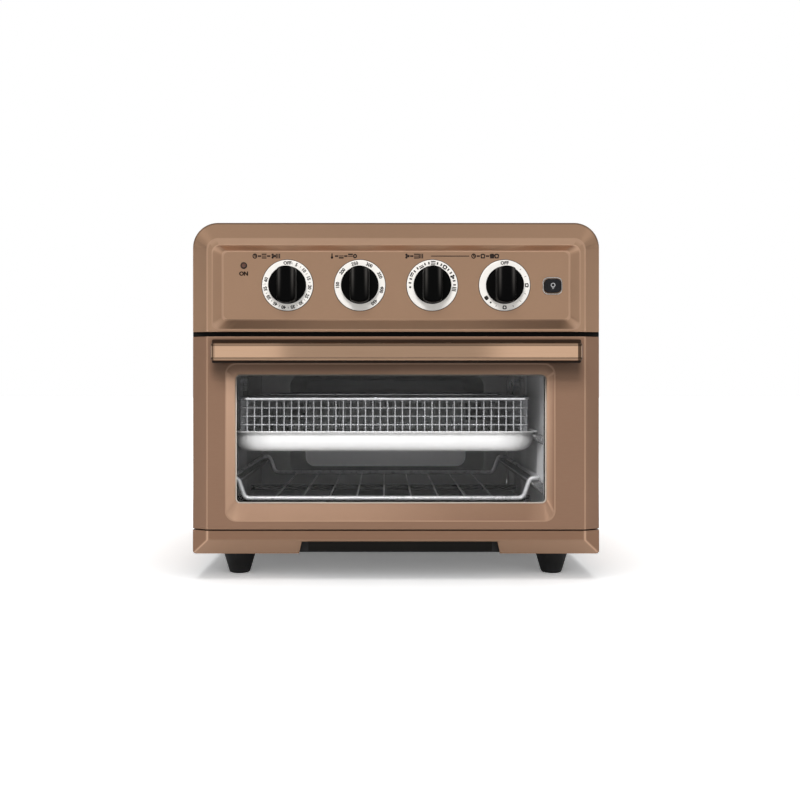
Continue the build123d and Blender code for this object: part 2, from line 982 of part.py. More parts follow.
def element_holes(wall_x):
    """Holes for the heating rods through a cavity wall, in the part in hand."""
    hole = element_diameter + 2 * element_clearance
    for depth in upper_element_depths:
        rod(
            (wall_x - holder_length, depth, upper_element_z),
            (wall_x + holder_length, depth, upper_element_z),
            hole,
            Mode.SUBTRACT,
        )
    for depth in lower_element_depths:
        rod(
            (wall_x - holder_length, depth, lower_element_z),
            (wall_x + holder_length, depth, lower_element_z),
            hole,
            Mode.SUBTRACT,
        )


def wall_slots(wall_x):
    """Field of upright air slots through a cavity wall, in the part in hand."""
    with BuildSketch(Plane.YZ.offset(wall_x - holder_length)) as slots:
        with Locations((front_y + wall_slot_depth, wall_slot_z)):
            with GridLocations(slot_pitch, 0, slot_count, 1):
                Rectangle(slot_width, slot_height)
    extrude(slots.sketch, amount=2 * holder_length, mode=Mode.SUBTRACT)


# Cavity side walls with ledges for the rack and the pan
with BuildPart() as cavity_left_wall:
    block(
        cavity_left - cavity_sheet, cavity_left, wrap_front, cavity_back, cavity_low, cavity_high
    )
    ledge(cavity_left, 1, rack_ledge, rack_ledge_z)
    ledge(cavity_left, 1, pan_ledge, pan_ledge_z)
    element_holes(cavity_left)
    wall_slots(cavity_left)
cavity_left_wall.part.label = "cavity_left_wall"
export_step(cavity_left_wall.part, "parts/cavity_left_wall.step")

with BuildPart() as cavity_right_wall:
    block(
        cavity_right, cavity_right + cavity_sheet, wrap_front, cavity_back, cavity_low, cavity_high
    )
    ledge(cavity_right, -1, rack_ledge, rack_ledge_z)
    ledge(cavity_right, -1, pan_ledge, pan_ledge_z)
    element_holes(cavity_right)
    wall_slots(cavity_right)
    rod(
        (cavity_right - holder_length, cavity_lamp_depth, cavity_lamp_z),
        (cavity_right + holder_length, cavity_lamp_depth, cavity_lamp_z),
        cavity_lamp_opening,
        Mode.SUBTRACT,
    )
cavity_right_wall.part.label = "cavity_right_wall"
export_step(cavity_right_wall.part, "parts/cavity_right_wall.step")

# Cavity roof with the hole for the fan shaft
with BuildPart() as cavity_roof:
    block(cavity_left, cavity_right, wrap_front, cavity_back, cavity_roof_z, cavity_high)
    rod(
        (cavity_x, fan_depth, cavity_roof_z),
        (cavity_x, fan_depth, cavity_high),
        fan_shaft_diameter + 2 * fan_roof_clearance,
        Mode.SUBTRACT,
    )
cavity_roof.part.label = "cavity_roof"
export_step(cavity_roof.part, "parts/cavity_roof.step")

# Cavity floor, open over the crumb tray
with BuildPart() as cavity_floor:
    block(cavity_left, cavity_right, wrap_front, cavity_back, cavity_low, cavity_floor_z)
    block(
        tray_x - tray_half + crumb_opening_margin,
        tray_x + tray_half - crumb_opening_margin,
        crumb_opening_front,
        crumb_opening_back,
        cavity_low,
        cavity_floor_z,
        Mode.SUBTRACT,
    )
cavity_floor.part.label = "cavity_floor"
export_step(cavity_floor.part, "parts/cavity_floor.step")

# Cavity back wall with a pressed pocket
with BuildPart() as cavity_back_wall:
    with BuildSketch(facing(cavity_back)):
        bounded(
            cavity_left - cavity_sheet, cavity_right + cavity_sheet, cavity_low, cavity_high
        )
    extrude(amount=-cavity_sheet)
    with BuildSketch(facing(cavity_back)):
        bounded(
            cavity_x - pocket_half - cavity_sheet,
            cavity_x + pocket_half + cavity_sheet,
            pocket_low - cavity_sheet,
            pocket_high + cavity_sheet,
            pocket_radius + cavity_sheet,
        )
    with BuildSketch(facing(cavity_back + pocket_depth + cavity_sheet)):
        bounded(
            cavity_x - pocket_half + pocket_slope - cavity_sheet,
            cavity_x + pocket_half - pocket_slope + cavity_sheet,
            pocket_low + pocket_slope - cavity_sheet,
            pocket_high - pocket_slope + cavity_sheet,
            pocket_radius + cavity_sheet,
        )
    loft(ruled=True)
    with BuildSketch(facing(cavity_back)):
        bounded(
            cavity_x - pocket_half, cavity_x + pocket_half, pocket_low, pocket_high, pocket_radius
        )
    with BuildSketch(facing(cavity_back + pocket_depth)):
        bounded(
            cavity_x - pocket_half + pocket_slope,
            cavity_x + pocket_half - pocket_slope,
            pocket_low + pocket_slope,
            pocket_high - pocket_slope,
            pocket_radius,
        )
    loft(ruled=True, mode=Mode.SUBTRACT)
cavity_back_wall.part.label = "cavity_back_wall"
export_step(cavity_back_wall.part, "parts/cavity_back_wall.step")

# Heating rods, from wall to wall, and their ceramic holders outside the walls
rod_left = cavity_left - cavity_sheet - holder_length - element_stub
rod_right = cavity_right + cavity_sheet + holder_length + element_stub
element_rows = (
    ("upper_elements", upper_element_z, upper_element_depths),
    ("lower_elements", lower_element_z, lower_element_depths),
)
for name, height, depths in element_rows:
    with BuildPart() as elements:
        for depth in depths:
            rod((rod_left, depth, height), (rod_right, depth, height), element_diameter)
    elements.part.label = name
    export_step(elements.part, f"parts/{name}.step")

with BuildPart() as element_holders:
    for name, height, depths in element_rows:
        for depth in depths:
            for inner, outer in (
                (cavity_left - cavity_sheet - holder_length, cavity_left - cavity_sheet),
                (cavity_right + cavity_sheet, cavity_right + cavity_sheet + holder_length),
            ):
                block(
                    inner,
                    outer,
                    depth - holder_size / 2,
                    depth + holder_size / 2,
                    height - holder_size / 2,
                    height + holder_size / 2,
                )
                rod((inner, depth, height), (outer, depth, height), element_diameter, Mode.SUBTRACT)
element_holders.part.label = "element_holders"
export_step(element_holders.part, "parts/element_holders.step")

# Fan: pressed disc with radial blades on a shaft through the cavity roof
with BuildPart() as fan_blades:
    rod(
        (cavity_x, fan_depth, fan_disc_z),
        (cavity_x, fan_depth, fan_disc_z + fan_disc),
        fan_diameter,
    )
    rod(
        (cavity_x, fan_depth, fan_disc_z - blade_height),
        (cavity_x, fan_depth, fan_disc_z),
        hub_diameter,
    )
    with BuildSketch(Plane.XY.offset(fan_disc_z)):
        with Locations((cavity_x, front_y + fan_depth)):
            with PolarLocations((fan_diameter + hub_diameter) / 4, blade_count):
                Rectangle((fan_diameter - hub_diameter) / 2 - blade_thickness, blade_thickness)
    extrude(amount=-blade_height)
    rod(
        (cavity_x, fan_depth, fan_disc_z - blade_height),
        (cavity_x, fan_depth, fan_disc_z + fan_disc),
        fan_shaft_diameter,
        Mode.SUBTRACT,
    )
fan_blades.part.label = "fan_blades"
export_step(fan_blades.part, "parts/fan_blades.step")

with BuildPart() as fan_shaft:
    rod(
        (cavity_x, fan_depth, fan_disc_z - blade_height),
        (cavity_x, fan_depth, fan_shaft_top),
        fan_shaft_diameter,
    )
fan_shaft.part.label = "fan_shaft"
export_step(fan_shaft.part, "parts/fan_shaft.step")

# Fan guard: slotted plate under the fan, hung from the roof on four posts
with BuildPart() as fan_guard:
    with BuildSketch(Plane.XY.offset(guard_z)):
        with Locations((cavity_x, front_y + fan_depth)):
            RectangleRounded(guard_size, guard_size, guard_radius)
            with GridLocations(guard_slot_pitch, 0, guard_slot_count, 1):
                Rectangle(guard_slot_width, guard_slot_length, mode=Mode.SUBTRACT)
    extrude(amount=guard_sheet)
    with BuildSketch(Plane.XY.offset(guard_z + guard_sheet)):
        with Locations((cavity_x, front_y + fan_depth)):
            with GridLocations(
                guard_size - 2 * guard_post_inset, guard_size - 2 * guard_post_inset, 2, 2
            ):
                Circle(guard_post / 2)
    extrude(amount=cavity_roof_z - guard_z - guard_sheet)
fan_guard.part.label = "fan_guard"
export_step(fan_guard.part, "parts/fan_guard.step")

# Fan motor: can on a strap that stands on the cavity roof
with BuildPart() as fan_motor:
    rod(
        (cavity_x, fan_depth, motor_low),
        (cavity_x, fan_depth, motor_low + motor_length),
        motor_diameter,
    )
    rod(
        (cavity_x, fan_depth, motor_low - motor_neck_length),
        (cavity_x, fan_depth, motor_low),
        motor_neck,
    )
    block(
        cavity_x - motor_strap_length / 2,
        cavity_x + motor_strap_length / 2,
        fan_depth - motor_strap_width / 2,
        fan_depth + motor_strap_width / 2,
        motor_low - motor_strap,
        motor_low,
    )
    for side in (-1, 1):
        leg_x = cavity_x + side * (motor_strap_length - motor_strap) / 2
        block(
            leg_x - motor_strap / 2,
            leg_x + motor_strap / 2,
            fan_depth - motor_strap_width / 2,
            fan_depth + motor_strap_width / 2,
            cavity_high,
            motor_low,
        )
    rod(
        (cavity_x, fan_depth, motor_low - motor_neck_length),
        (cavity_x, fan_depth, fan_shaft_top + shaft_end_room),
        fan_shaft_diameter + 2 * fan_bearing_clearance,
        Mode.SUBTRACT,
    )
fan_motor.part.label = "fan_motor"
export_step(fan_motor.part, "parts/fan_motor.step")

# Cavity lamp on the right wall: domed lens inside, cup and bulb outside
lamp_wall = cavity_right + cavity_sheet
with BuildPart() as cavity_lamp_lens:
    rod(
        (cavity_right - lens_thickness, cavity_lamp_depth, cavity_lamp_z),
        (cavity_right, cavity_lamp_depth, cavity_lamp_z),
        lens_diameter,
    )
    fillet(cavity_lamp_lens.faces().sort_by(Axis.X)[0].edges(), lens_rounding)
cavity_lamp_lens.part.label = "cavity_lamp_lens"
export_step(cavity_lamp_lens.part, "parts/cavity_lamp_lens.step")

with BuildPart() as cavity_lamp_housing:
    rod(
        (lamp_wall, cavity_lamp_depth, cavity_lamp_z),
        (lamp_wall + housing_length, cavity_lamp_depth, cavity_lamp_z),
        housing_diameter,
    )
    rod(
        (lamp_wall, cavity_lamp_depth, cavity_lamp_z),
        (lamp_wall + housing_length - cavity_sheet, cavity_lamp_depth, cavity_lamp_z),
        housing_diameter - 2 * cavity_sheet,
        Mode.SUBTRACT,
    )
cavity_lamp_housing.part.label = "cavity_lamp_housing"
export_step(cavity_lamp_housing.part, "parts/cavity_lamp_housing.step")

bulb_base = lamp_wall + housing_length - cavity_sheet
bulb_axis = Axis((bulb_base, front_y + cavity_lamp_depth, cavity_lamp_z), (-1, 0, 0))
bulb_middle = bulb_neck_length + ((bulb_diameter / 2) ** 2 - (bulb_neck_diameter / 2) ** 2) ** 0.5
with BuildPart() as cavity_lamp_bulb:
    with BuildSketch(Plane(bulb_axis.position, x_dir=bulb_axis.direction, z_dir=(0, 1, 0))):
        with BuildLine():
            Polyline(
                (bulb_middle + bulb_diameter / 2, 0),
                (0, 0),
                (0, bulb_neck_diameter / 2),
                (bulb_neck_length, bulb_neck_diameter / 2),
            )
            ThreePointArc(
                (bulb_neck_length, bulb_neck_diameter / 2),
                (bulb_middle, bulb_diameter / 2),
                (bulb_middle + bulb_diameter / 2, 0),
            )
        make_face()
    revolve(axis=bulb_axis)
cavity_lamp_bulb.part.label = "cavity_lamp_bulb"
export_step(cavity_lamp_bulb.part, "parts/cavity_lamp_bulb.step")

# Heat sensor: thin tube along the right wall in two clips
with BuildPart() as thermostat_bulb:
    sensor_x = cavity_right - sensor_stand
    rod(
        (sensor_x, sensor_front, sensor_z),
        (sensor_x, sensor_front + sensor_length, sensor_z),
        sensor_diameter,
    )
    for depth in (sensor_front + sensor_clip, sensor_front + sensor_length - 2 * sensor_clip):
        block(
            sensor_x,
            cavity_right,
            depth,
            depth + sensor_clip,
            sensor_z - sensor_clip_height / 2,
            sensor_z + sensor_clip_height / 2,
        )
thermostat_bulb.part.label = "thermostat_bulb"
export_step(thermostat_bulb.part, "parts/thermostat_bulb.step")

# Hinge brackets: arms through the chassis that end in an eye for the door pin
with BuildPart() as hinge_brackets:
    for side in (-1, 1):
        arm_left = side * hinge_x - arm_thickness / 2
        arm_right = side * hinge_x + arm_thickness / 2
        rod((arm_left, hinge_depth, hinge_z), (arm_right, hinge_depth, hinge_z), 2 * eye_radius)
        block(
            arm_left,
            arm_right,
            hinge_depth,
            wrap_front,
            hinge_z - arm_below,
            hinge_z + arm_above,
        )
        block(
            side * hinge_x - bracket_foot_width / 2,
            side * hinge_x + bracket_foot_width / 2,
            wrap_front,
            wrap_front + bracket_foot_thickness,
            hinge_z - bracket_foot_height,
            hinge_z - arm_below,
        )
        block(
            arm_left,
            arm_right,
            wrap_front,
            wrap_front + bracket_foot_thickness,
            hinge_z - arm_below,
            hinge_z + arm_above,
        )
        rod(
            (arm_left, hinge_depth, hinge_z),
            (arm_right, hinge_depth, hinge_z),
            hinge_pin_diameter + 2 * hinge_clearance,
            Mode.SUBTRACT,
        )
hinge_brackets.part.label = "hinge_brackets"
export_step(hinge_brackets.part, "parts/hinge_brackets.step")

# Door panel: bevelled pressing, hollow behind, with a sloped window recess
stile_inner = (
    (-1, slope_left - fascia_wall),
    (1, slope_right + fascia_wall),
)
arm_slot_half = arm_thickness / 2 + arm_side_clearance
with BuildPart() as door_panel:
    with BuildSketch(facing(0)):
        bounded(-ridge_half, ridge_half, door_bottom, door_top)
    with BuildSketch(facing(bevel_depth)):
        bounded(-half_width, half_width, door_bottom, door_top)
    loft(ruled=True)
    block(-half_width, half_width, bevel_depth, door_shell, door_bottom, door_top)
    with BuildSketch(facing(0)):
        bounded(slope_left, slope_right, slope_low, slope_high, window_slope_radius)
    with BuildSketch(facing(window_depth)):
        bounded(window_left, window_right, window_low, window_high, window_radius)
    loft(ruled=True, mode=Mode.SUBTRACT)
    with BuildSketch(facing(window_depth)):
        bounded(window_left, window_right, window_low, window_high, window_radius)
    extrude(amount=-(door_shell - window_depth), mode=Mode.SUBTRACT)
    for side, inner in stile_inner:
        with BuildSketch(Plane.XY.offset(door_bottom + fascia_wall)):
            with BuildLine():
                Polyline(
                    (inner, front_y + door_shell),
                    (inner, front_y + door_sheet),
                    (side * (ridge_half - door_sheet / 2), front_y + door_sheet),
                    (side * (half_width - fascia_wall), front_y + bevel_depth + door_sheet / 2),
                    (side * (half_width - fascia_wall), front_y + door_shell),
                    close=True,
                )
            make_face()
        extrude(amount=door_top - door_bottom - 2 * fascia_wall, mode=Mode.SUBTRACT)
        block(
            side * hinge_x - arm_slot_half,
            side * hinge_x + arm_slot_half,
            door_sheet,
            door_shell,
            door_bottom,
            door_bottom + fascia_wall,
            Mode.SUBTRACT,
        )
    block(
        slope_left - fascia_wall,
        slope_right + fascia_wall,
        door_sheet,
        door_shell,
        slope_high + fascia_wall,
        door_top - fascia_wall,
        Mode.SUBTRACT,
    )
    block(
        slope_left - fascia_wall,
        slope_right + fascia_wall,
        door_sheet,
        door_shell,
        door_bottom + fascia_wall,
        slope_low - fascia_wall,
        Mode.SUBTRACT,
    )
    for side in (-1, 1):
        for height in (-handle_screw_pitch / 2, handle_screw_pitch / 2):
            screw_z = (handle_low + handle_high) / 2 + height
            rod(
                (side * (handle_half - leg_thickness / 2), 0, screw_z),
                (side * (handle_half - leg_thickness / 2), door_sheet, screw_z),
                handle_screw_diameter,
                Mode.SUBTRACT,
            )
door_panel.part.label = "door_panel"
export_step(door_panel.part, "parts/door_panel.step")

# Glass gasket between the door panel and the glass
with BuildPart() as glass_gasket:
    with BuildSketch(facing(door_shell)):
        bounded(
            window_left - gasket_inset - gasket_width,
            window_right + gasket_inset + gasket_width,
            window_low - gasket_inset - gasket_width,
            window_high + gasket_inset + gasket_width,
            window_radius + gasket_inset + gasket_width,
        )
        bounded(
            window_left - gasket_inset,
            window_right + gasket_inset,
            window_low - gasket_inset,
            window_high + gasket_inset,
            window_radius + gasket_inset,
            mode=Mode.SUBTRACT,
        )
    extrude(amount=-gasket_thickness)
glass_gasket.part.label = "glass_gasket"
export_step(glass_gasket.part, "parts/glass_gasket.step")

# Door glass
with BuildPart() as door_glass:
    with BuildSketch(facing(glass_front)):
        bounded(
            window_left - glass_overlap,
            window_right + glass_overlap,
            window_low - glass_overlap,
            window_high + glass_overlap,
            window_radius,
        )
    extrude(amount=-glass_thickness)
door_glass.part.label = "door_glass"
export_step(door_glass.part, "parts/door_glass.step")

# Door liner: dished inner frame that holds the glass
with BuildPart() as door_inner_frame:
    with BuildSketch(facing(door_shell)):
        bounded(
            -(half_width - liner_edge),
            half_width - liner_edge,
            liner_bottom,
            door_top - liner_top_edge,
            liner_radius,
        )
    extrude(amount=-(door_back - door_shell))
    with BuildSketch(facing(door_shell)):
        bounded(
            -(half_width - liner_edge - liner_rim),
            half_width - liner_edge - liner_rim,
            liner_bottom + liner_rim,
            door_top - liner_top_edge - liner_rim,
            liner_radius / 2,
        )
    extrude(amount=-(glass_back - door_shell), mode=Mode.SUBTRACT)
    with BuildSketch(facing(glass_back)):
        bounded(
            window_left - liner_overlap,
            window_right + liner_overlap,
            window_low - liner_overlap,
            window_high + liner_overlap,
            window_radius + liner_overlap,
        )
    extrude(amount=-liner_plate, mode=Mode.SUBTRACT)
door_inner_frame.part.label = "door_inner_frame"
export_step(door_inner_frame.part, "parts/door_inner_frame.step")

# Door handle: flat bar with ends that splay back towards the door
handle_back = -handle_reach + handle_thickness
splay = handle_splay / handle_reach
with BuildPart() as door_handle:
    with BuildSketch(Plane.XY.offset(handle_low)):
        with BuildLine():
            Polyline(
                (-handle_half, front_y - handle_reach),
                (handle_half, front_y - handle_reach),
                (handle_half + splay * handle_thickness, front_y + handle_back),
                (-handle_half - splay * handle_thickness, front_y + handle_back),
                close=True,
            )
        make_face()
    extrude(amount=handle_high - handle_low)
    fillet(door_handle.faces().sort_by(Axis.Y)[0].edges(), handle_rounding)
door_handle.part.label = "door_handle"
export_step(door_handle.part, "parts/door_handle.step")

# Handle legs: splayed feet between the bar and the door
with BuildPart() as handle_legs:
    for side in (-1, 1):
        with BuildSketch(Plane.XY.offset(handle_low + leg_inset)):
            with BuildLine():
                Polyline(
                    (side * (handle_half + splay * handle_thickness), front_y + handle_back),
                    (side * (handle_half + handle_splay), front_y),
                    (side * (handle_half - leg_thickness), front_y),
                    (side * (handle_half - leg_thickness), front_y + handle_back),
                    close=True,
                )
            make_face()
        extrude(amount=handle_high - handle_low - 2 * leg_inset)
        for height in (-handle_screw_pitch / 2, handle_screw_pitch / 2):
            screw_z = (handle_low + handle_high) / 2 + height
            rod(
                (side * (handle_half - leg_thickness / 2), door_sheet - handle_screw_length, screw_z),
                (side * (handle_half - leg_thickness / 2), 0, screw_z),
                handle_screw_diameter,
                Mode.SUBTRACT,
            )
handle_legs.part.label = "handle_legs"
export_step(handle_legs.part, "parts/handle_legs.step")

# Door screws: from inside the door panel into the handle legs
with BuildPart() as door_screws:
    for side in (-1, 1):
        for height in (-handle_screw_pitch / 2, handle_screw_pitch / 2):
            screw_z = (handle_low + handle_high) / 2 + height
            screw_place = side * (handle_half - leg_thickness / 2)
            rod(
                (screw_place, door_sheet - handle_screw_length, screw_z),
                (screw_place, door_sheet, screw_z),
                handle_screw_diameter,
            )
            rod(
                (screw_place, door_sheet, screw_z),
                (screw_place, door_sheet + screw_head_height, screw_z),
                screw_head,
            )
door_screws.part.label = "door_screws"
export_step(door_screws.part, "parts/door_screws.step")

# Hinge clevises inside the door's lower corners, slotted for the bracket arms
with BuildPart() as hinge_clevises:
    for side in (-1, 1):
        clevis_half = arm_slot_half + cheek_thickness
        block(
            side * hinge_x - clevis_half,
            side * hinge_x + clevis_half,
            door_sheet,
            clevis_depth,
            door_bottom + fascia_wall,
            clevis_top,
        )
        block(
            side * hinge_x - arm_slot_half,
            side * hinge_x + arm_slot_half,
            hinge_depth - clevis_slot_radius,
            clevis_depth,
            door_bottom + fascia_wall,
            hinge_z + clevis_slot_radius,
            Mode.SUBTRACT,
        )
        rod(
            (side * hinge_x - clevis_half, hinge_depth, hinge_z),
            (side * hinge_x + clevis_half, hinge_depth, hinge_z),
            hinge_pin_diameter,
            Mode.SUBTRACT,
        )
hinge_clevises.part.label = "hinge_clevises"
export_step(hinge_clevises.part, "parts/hinge_clevises.step")

# Hinge pins
with BuildPart() as hinge_pins:
    for side in (-1, 1):
        pin_half = arm_slot_half + cheek_thickness
        rod(
            (side * hinge_x - pin_half, hinge_depth, hinge_z),
            (side * hinge_x + pin_half, hinge_depth, hinge_z),
            hinge_pin_diameter,
        )
hinge_pins.part.label = "hinge_pins"
export_step(hinge_pins.part, "parts/hinge_pins.step")

# Oven rack: bent end rails, side rails on the ledges and lengthwise wires
with BuildPart() as oven_rack:
    for depth in (rack_front, rack_back):
        with BuildLine(facing(depth)) as rail_path:
            FilletPolyline(
                (cavity_x - rack_rail_half, side_rail_z),
                (cavity_x - rack_turn_half, side_rail_z),
                (cavity_x - rack_half, rack_z),
                (cavity_x + rack_half, rack_z),
                (cavity_x + rack_turn_half, side_rail_z),
                (cavity_x + rack_rail_half, side_rail_z),
                radius=rack_bend,
            )
        with BuildSketch(Plane(origin=rail_path.line @ 0, z_dir=rail_path.line % 0)):
            Circle(rail_diameter / 2)
        sweep(path=rail_path.line)
    for side in (-1, 1):
        rod(
            (cavity_x + side * rack_rail_half, rack_front - side_rail_diameter / 2, side_rail_z),
            (cavity_x + side * rack_rail_half, rack_back + side_rail_diameter / 2, side_rail_z),
            side_rail_diameter,
        )
    wire_z = rack_z + (rail_diameter + rack_wire_diameter) / 2 - weld_bite
    for index in range(rack_wire_count):
        wire_x = cavity_x + (index - (rack_wire_count - 1) / 2) * rack_wire_pitch
        rod(
            (wire_x, rack_front - rack_wire_overhang, wire_z),
            (wire_x, rack_back + rack_wire_overhang, wire_z),
            rack_wire_diameter,
        )
    brace_z = wire_z - (rack_wire_diameter + rack_brace_diameter) / 2 + weld_bite
    brace_half = rack_wire_pitch * (rack_wire_count - 1) / 2 + rack_wire_diameter
    for depth in rack_brace_depths:
        rod(
            (cavity_x - brace_half, depth, brace_z),
            (cavity_x + brace_half, depth, brace_z),
            rack_brace_diameter,
        )
oven_rack.part.label = "oven_rack"
export_step(oven_rack.part, "parts/oven_rack.step")


def pan_outline(height, spread, radius):
    """Sketch of the pan's rounded outline on a level plane, spread beyond its bottom size."""
    with BuildSketch(Plane.XY.offset(height)) as outline:
        with Locations((cavity_x, front_y + (pan_front + pan_back) / 2)):
            RectangleRounded(
                2 * (pan_half - pan_draft + spread),
                pan_back - pan_front - 2 * pan_draft + 2 * spread,
                radius,
            )
    return outline.sketch


# Baking pan: drafted tray with a rolled flange that rides on the ledges
with BuildPart() as baking_pan:
    add(pan_outline(pan_floor_z, 0, pan_radius - pan_draft))
    add(pan_outline(pan_rim_z, pan_draft, pan_radius))
    loft(ruled=True)
    flange = pan_outline(pan_flange_low, pan_draft + pan_flange, pan_radius + pan_flange)
    extrude(flange, amount=pan_sheet)
    lip_outside = pan_outline(
        pan_rim_z - pan_lip, pan_draft + pan_flange, pan_radius + pan_flange
    )
    lip_inside = pan_outline(
        pan_rim_z - pan_lip,
        pan_draft + pan_flange - pan_sheet,
        pan_radius + pan_flange - pan_sheet,
    )
    extrude(lip_outside - lip_inside, amount=pan_lip - pan_sheet)
    add(pan_outline(pan_floor_z + pan_sheet, -pan_sheet, pan_radius - pan_draft - pan_sheet))
    add(pan_outline(pan_rim_z, pan_draft - pan_sheet, pan_radius - pan_sheet))
    loft(ruled=True, mode=Mode.SUBTRACT)
baking_pan.part.label = "baking_pan"
export_step(baking_pan.part, "parts/baking_pan.step")

# Basket rim: one bent wire all round
with BuildPart() as basket_rim:
    with BuildLine(Plane.XY.offset(basket_rim_z - basket_wire / 2)) as rim_path:
        FilletPolyline(
            (cavity_x - basket_half, front_y + basket_front),
            (cavity_x + basket_half, front_y + basket_front),
            (cavity_x + basket_half, front_y + basket_back),
            (cavity_x - basket_half, front_y + basket_back),
            radius=basket_corner,
            close=True,
        )
    with BuildSketch(Plane(origin=rim_path.line @ 0, z_dir=rim_path.line % 0)):
        Circle(basket_wire / 2)
    sweep(path=rim_path.line)
basket_rim.part.label = "basket_rim"
export_step(basket_rim.part, "parts/basket_rim.step")


def net(width, height, columns, rows):
    """Sketch of a net: a plate with a grid of square gaps."""
    with BuildSketch() as mesh:
        Rectangle(width, height)
        pitch_x = (width - net_strand) / columns
        pitch_y = (height - net_strand) / rows
        with GridLocations(pitch_x, pitch_y, columns, rows):
            Rectangle(pitch_x - net_strand, pitch_y - net_strand, mode=Mode.SUBTRACT)
    return mesh.sketch


basket_height = basket_wall_top - basket_low
basket_length = basket_back - basket_front
basket_wall_middle = (basket_wall_top + basket_low) / 2
long_net = net(2 * basket_half - 2 * basket_corner, basket_height, net_columns, net_wall_rows)
end_net = net(basket_length - 2 * basket_corner, basket_height, net_rows, net_wall_rows)
floor_net = net(
    2 * basket_half - 2 * basket_corner, basket_length - 2 * basket_corner, net_columns, net_rows
)

# Basket nets: front and back, both ends, and the floor
with BuildPart() as basket_long_nets:
    for depth in (basket_front, basket_back):
        wall_plane = Plane(
            origin=(cavity_x, front_y + depth + net_thickness / 2, basket_wall_middle),
            x_dir=(1, 0, 0),
            z_dir=(0, -1, 0),
        )
        extrude(wall_plane * long_net, amount=net_thickness)
basket_long_nets.part.label = "basket_long_nets"
export_step(basket_long_nets.part, "parts/basket_long_nets.step")

with BuildPart() as basket_end_nets:
    for side in (-1, 1):
        wall_plane = Plane(
            origin=(
                cavity_x + side * basket_half - net_thickness / 2,
                basket_y_middle,
                basket_wall_middle,
            ),
            x_dir=(0, 1, 0),
            z_dir=(1, 0, 0),
        )
        extrude(wall_plane * end_net, amount=net_thickness)
basket_end_nets.part.label = "basket_end_nets"
export_step(basket_end_nets.part, "parts/basket_end_nets.step")

with BuildPart() as basket_floor_net:
    floor_plane = Plane(origin=(cavity_x, basket_y_middle, basket_low))
    extrude(floor_plane * floor_net, amount=net_thickness)
basket_floor_net.part.label = "basket_floor_net"
export_step(basket_floor_net.part, "parts/basket_floor_net.step")

# Crumb tray: shallow folded tray with a front lip
with BuildPart() as crumb_tray:
    block(
        tray_x - tray_half,
        tray_x + tray_half,
        tray_lip_front + tray_lip_thickness,
        tray_back,
        tray_low,
        tray_high,
    )
    block(
        tray_x - tray_half + tray_sheet,
        tray_x + tray_half - tray_sheet,
        tray_lip_front + tray_lip_thickness,
        tray_back - tray_sheet,
        tray_low + tray_sheet,
        tray_high,
        Mode.SUBTRACT,
    )
    block(
        tray_x - tray_lip_half,
        tray_x + tray_lip_half,
        tray_lip_front,
        tray_lip_front + tray_lip_thickness,
        tray_low,
        tray_high,
    )
crumb_tray.part.label = "crumb_tray"
export_step(crumb_tray.part, "parts/crumb_tray.step")

# Feet: four tapered rubber cones
with BuildPart() as feet:
    for depth in (front_foot_depth, rear_foot_depth):
        for side in (-1, 1):
            with Locations((side * foot_x, front_y + depth, foot_height / 2)):
                Cone(foot_bottom_radius, foot_top_radius, foot_height)
feet.part.label = "feet"
export_step(feet.part, "parts/feet.step")

# Cord cleats: two T-shaped stand-offs on the back
with BuildPart() as cord_cleats:
    for side in (-1, 1):
        block(
            side * cleat_x - cleat_post_width / 2,
            side * cleat_x + cleat_post_width / 2,
            body_depth,
            body_depth + cleat_reach - cleat_plate_thickness,
            cleat_z - cleat_post_height / 2,
            cleat_z + cleat_post_height / 2,
        )
        with BuildSketch(facing(body_depth + cleat_reach - cleat_plate_thickness)):
            with Locations((side * cleat_x, cleat_z)):
                RectangleRounded(cleat_plate_width, cleat_plate_height, cleat_rounding)
        extrude(amount=-cleat_plate_thickness)
cord_cleats.part.label = "cord_cleats"
export_step(cord_cleats.part, "parts/cord_cleats.step")

# Cord gland: rubber bush in the rear panel
with BuildPart() as cord_gland:
    rod(
        (gland_x, body_depth, gland_z),
        (gland_x, body_depth + gland_flange_thickness, gland_z),
        gland_flange,
    )
    rod((gland_x, wrap_back, gland_z), (gland_x, body_depth, gland_z), gland_neck)
    rod(
        (gland_x, wrap_back - gland_flange_thickness, gland_z),
        (gland_x, wrap_back, gland_z),
        gland_flange,
    )
    rod(
        (gland_x, wrap_back - gland_flange_thickness, gland_z),
        (gland_x, body_depth + gland_flange_thickness, gland_z),
        gland_bore,
        Mode.SUBTRACT,
    )
cord_gland.part.label = "cord_gland"
export_step(cord_gland.part, "parts/cord_gland.step")

# Cabinet screws: hold the rear panel to the wrap
with BuildPart() as cabinet_screws:
    for side in (-1, 1):
        for height in screw_heights:
            rod(
                (side * screw_x, wrap_back - cabinet_sheet - screw_shank, height),
                (side * screw_x, body_depth, height),
                screw_diameter,
            )
            rod(
                (side * screw_x, body_depth, height),
                (side * screw_x, body_depth + screw_head_height, height),
                screw_head,
            )
cabinet_screws.part.label = "cabinet_screws"
export_step(cabinet_screws.part, "parts/cabinet_screws.step")
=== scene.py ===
import json
import logging
import math
from dataclasses import dataclass
from enum import Enum
from typing import Sequence

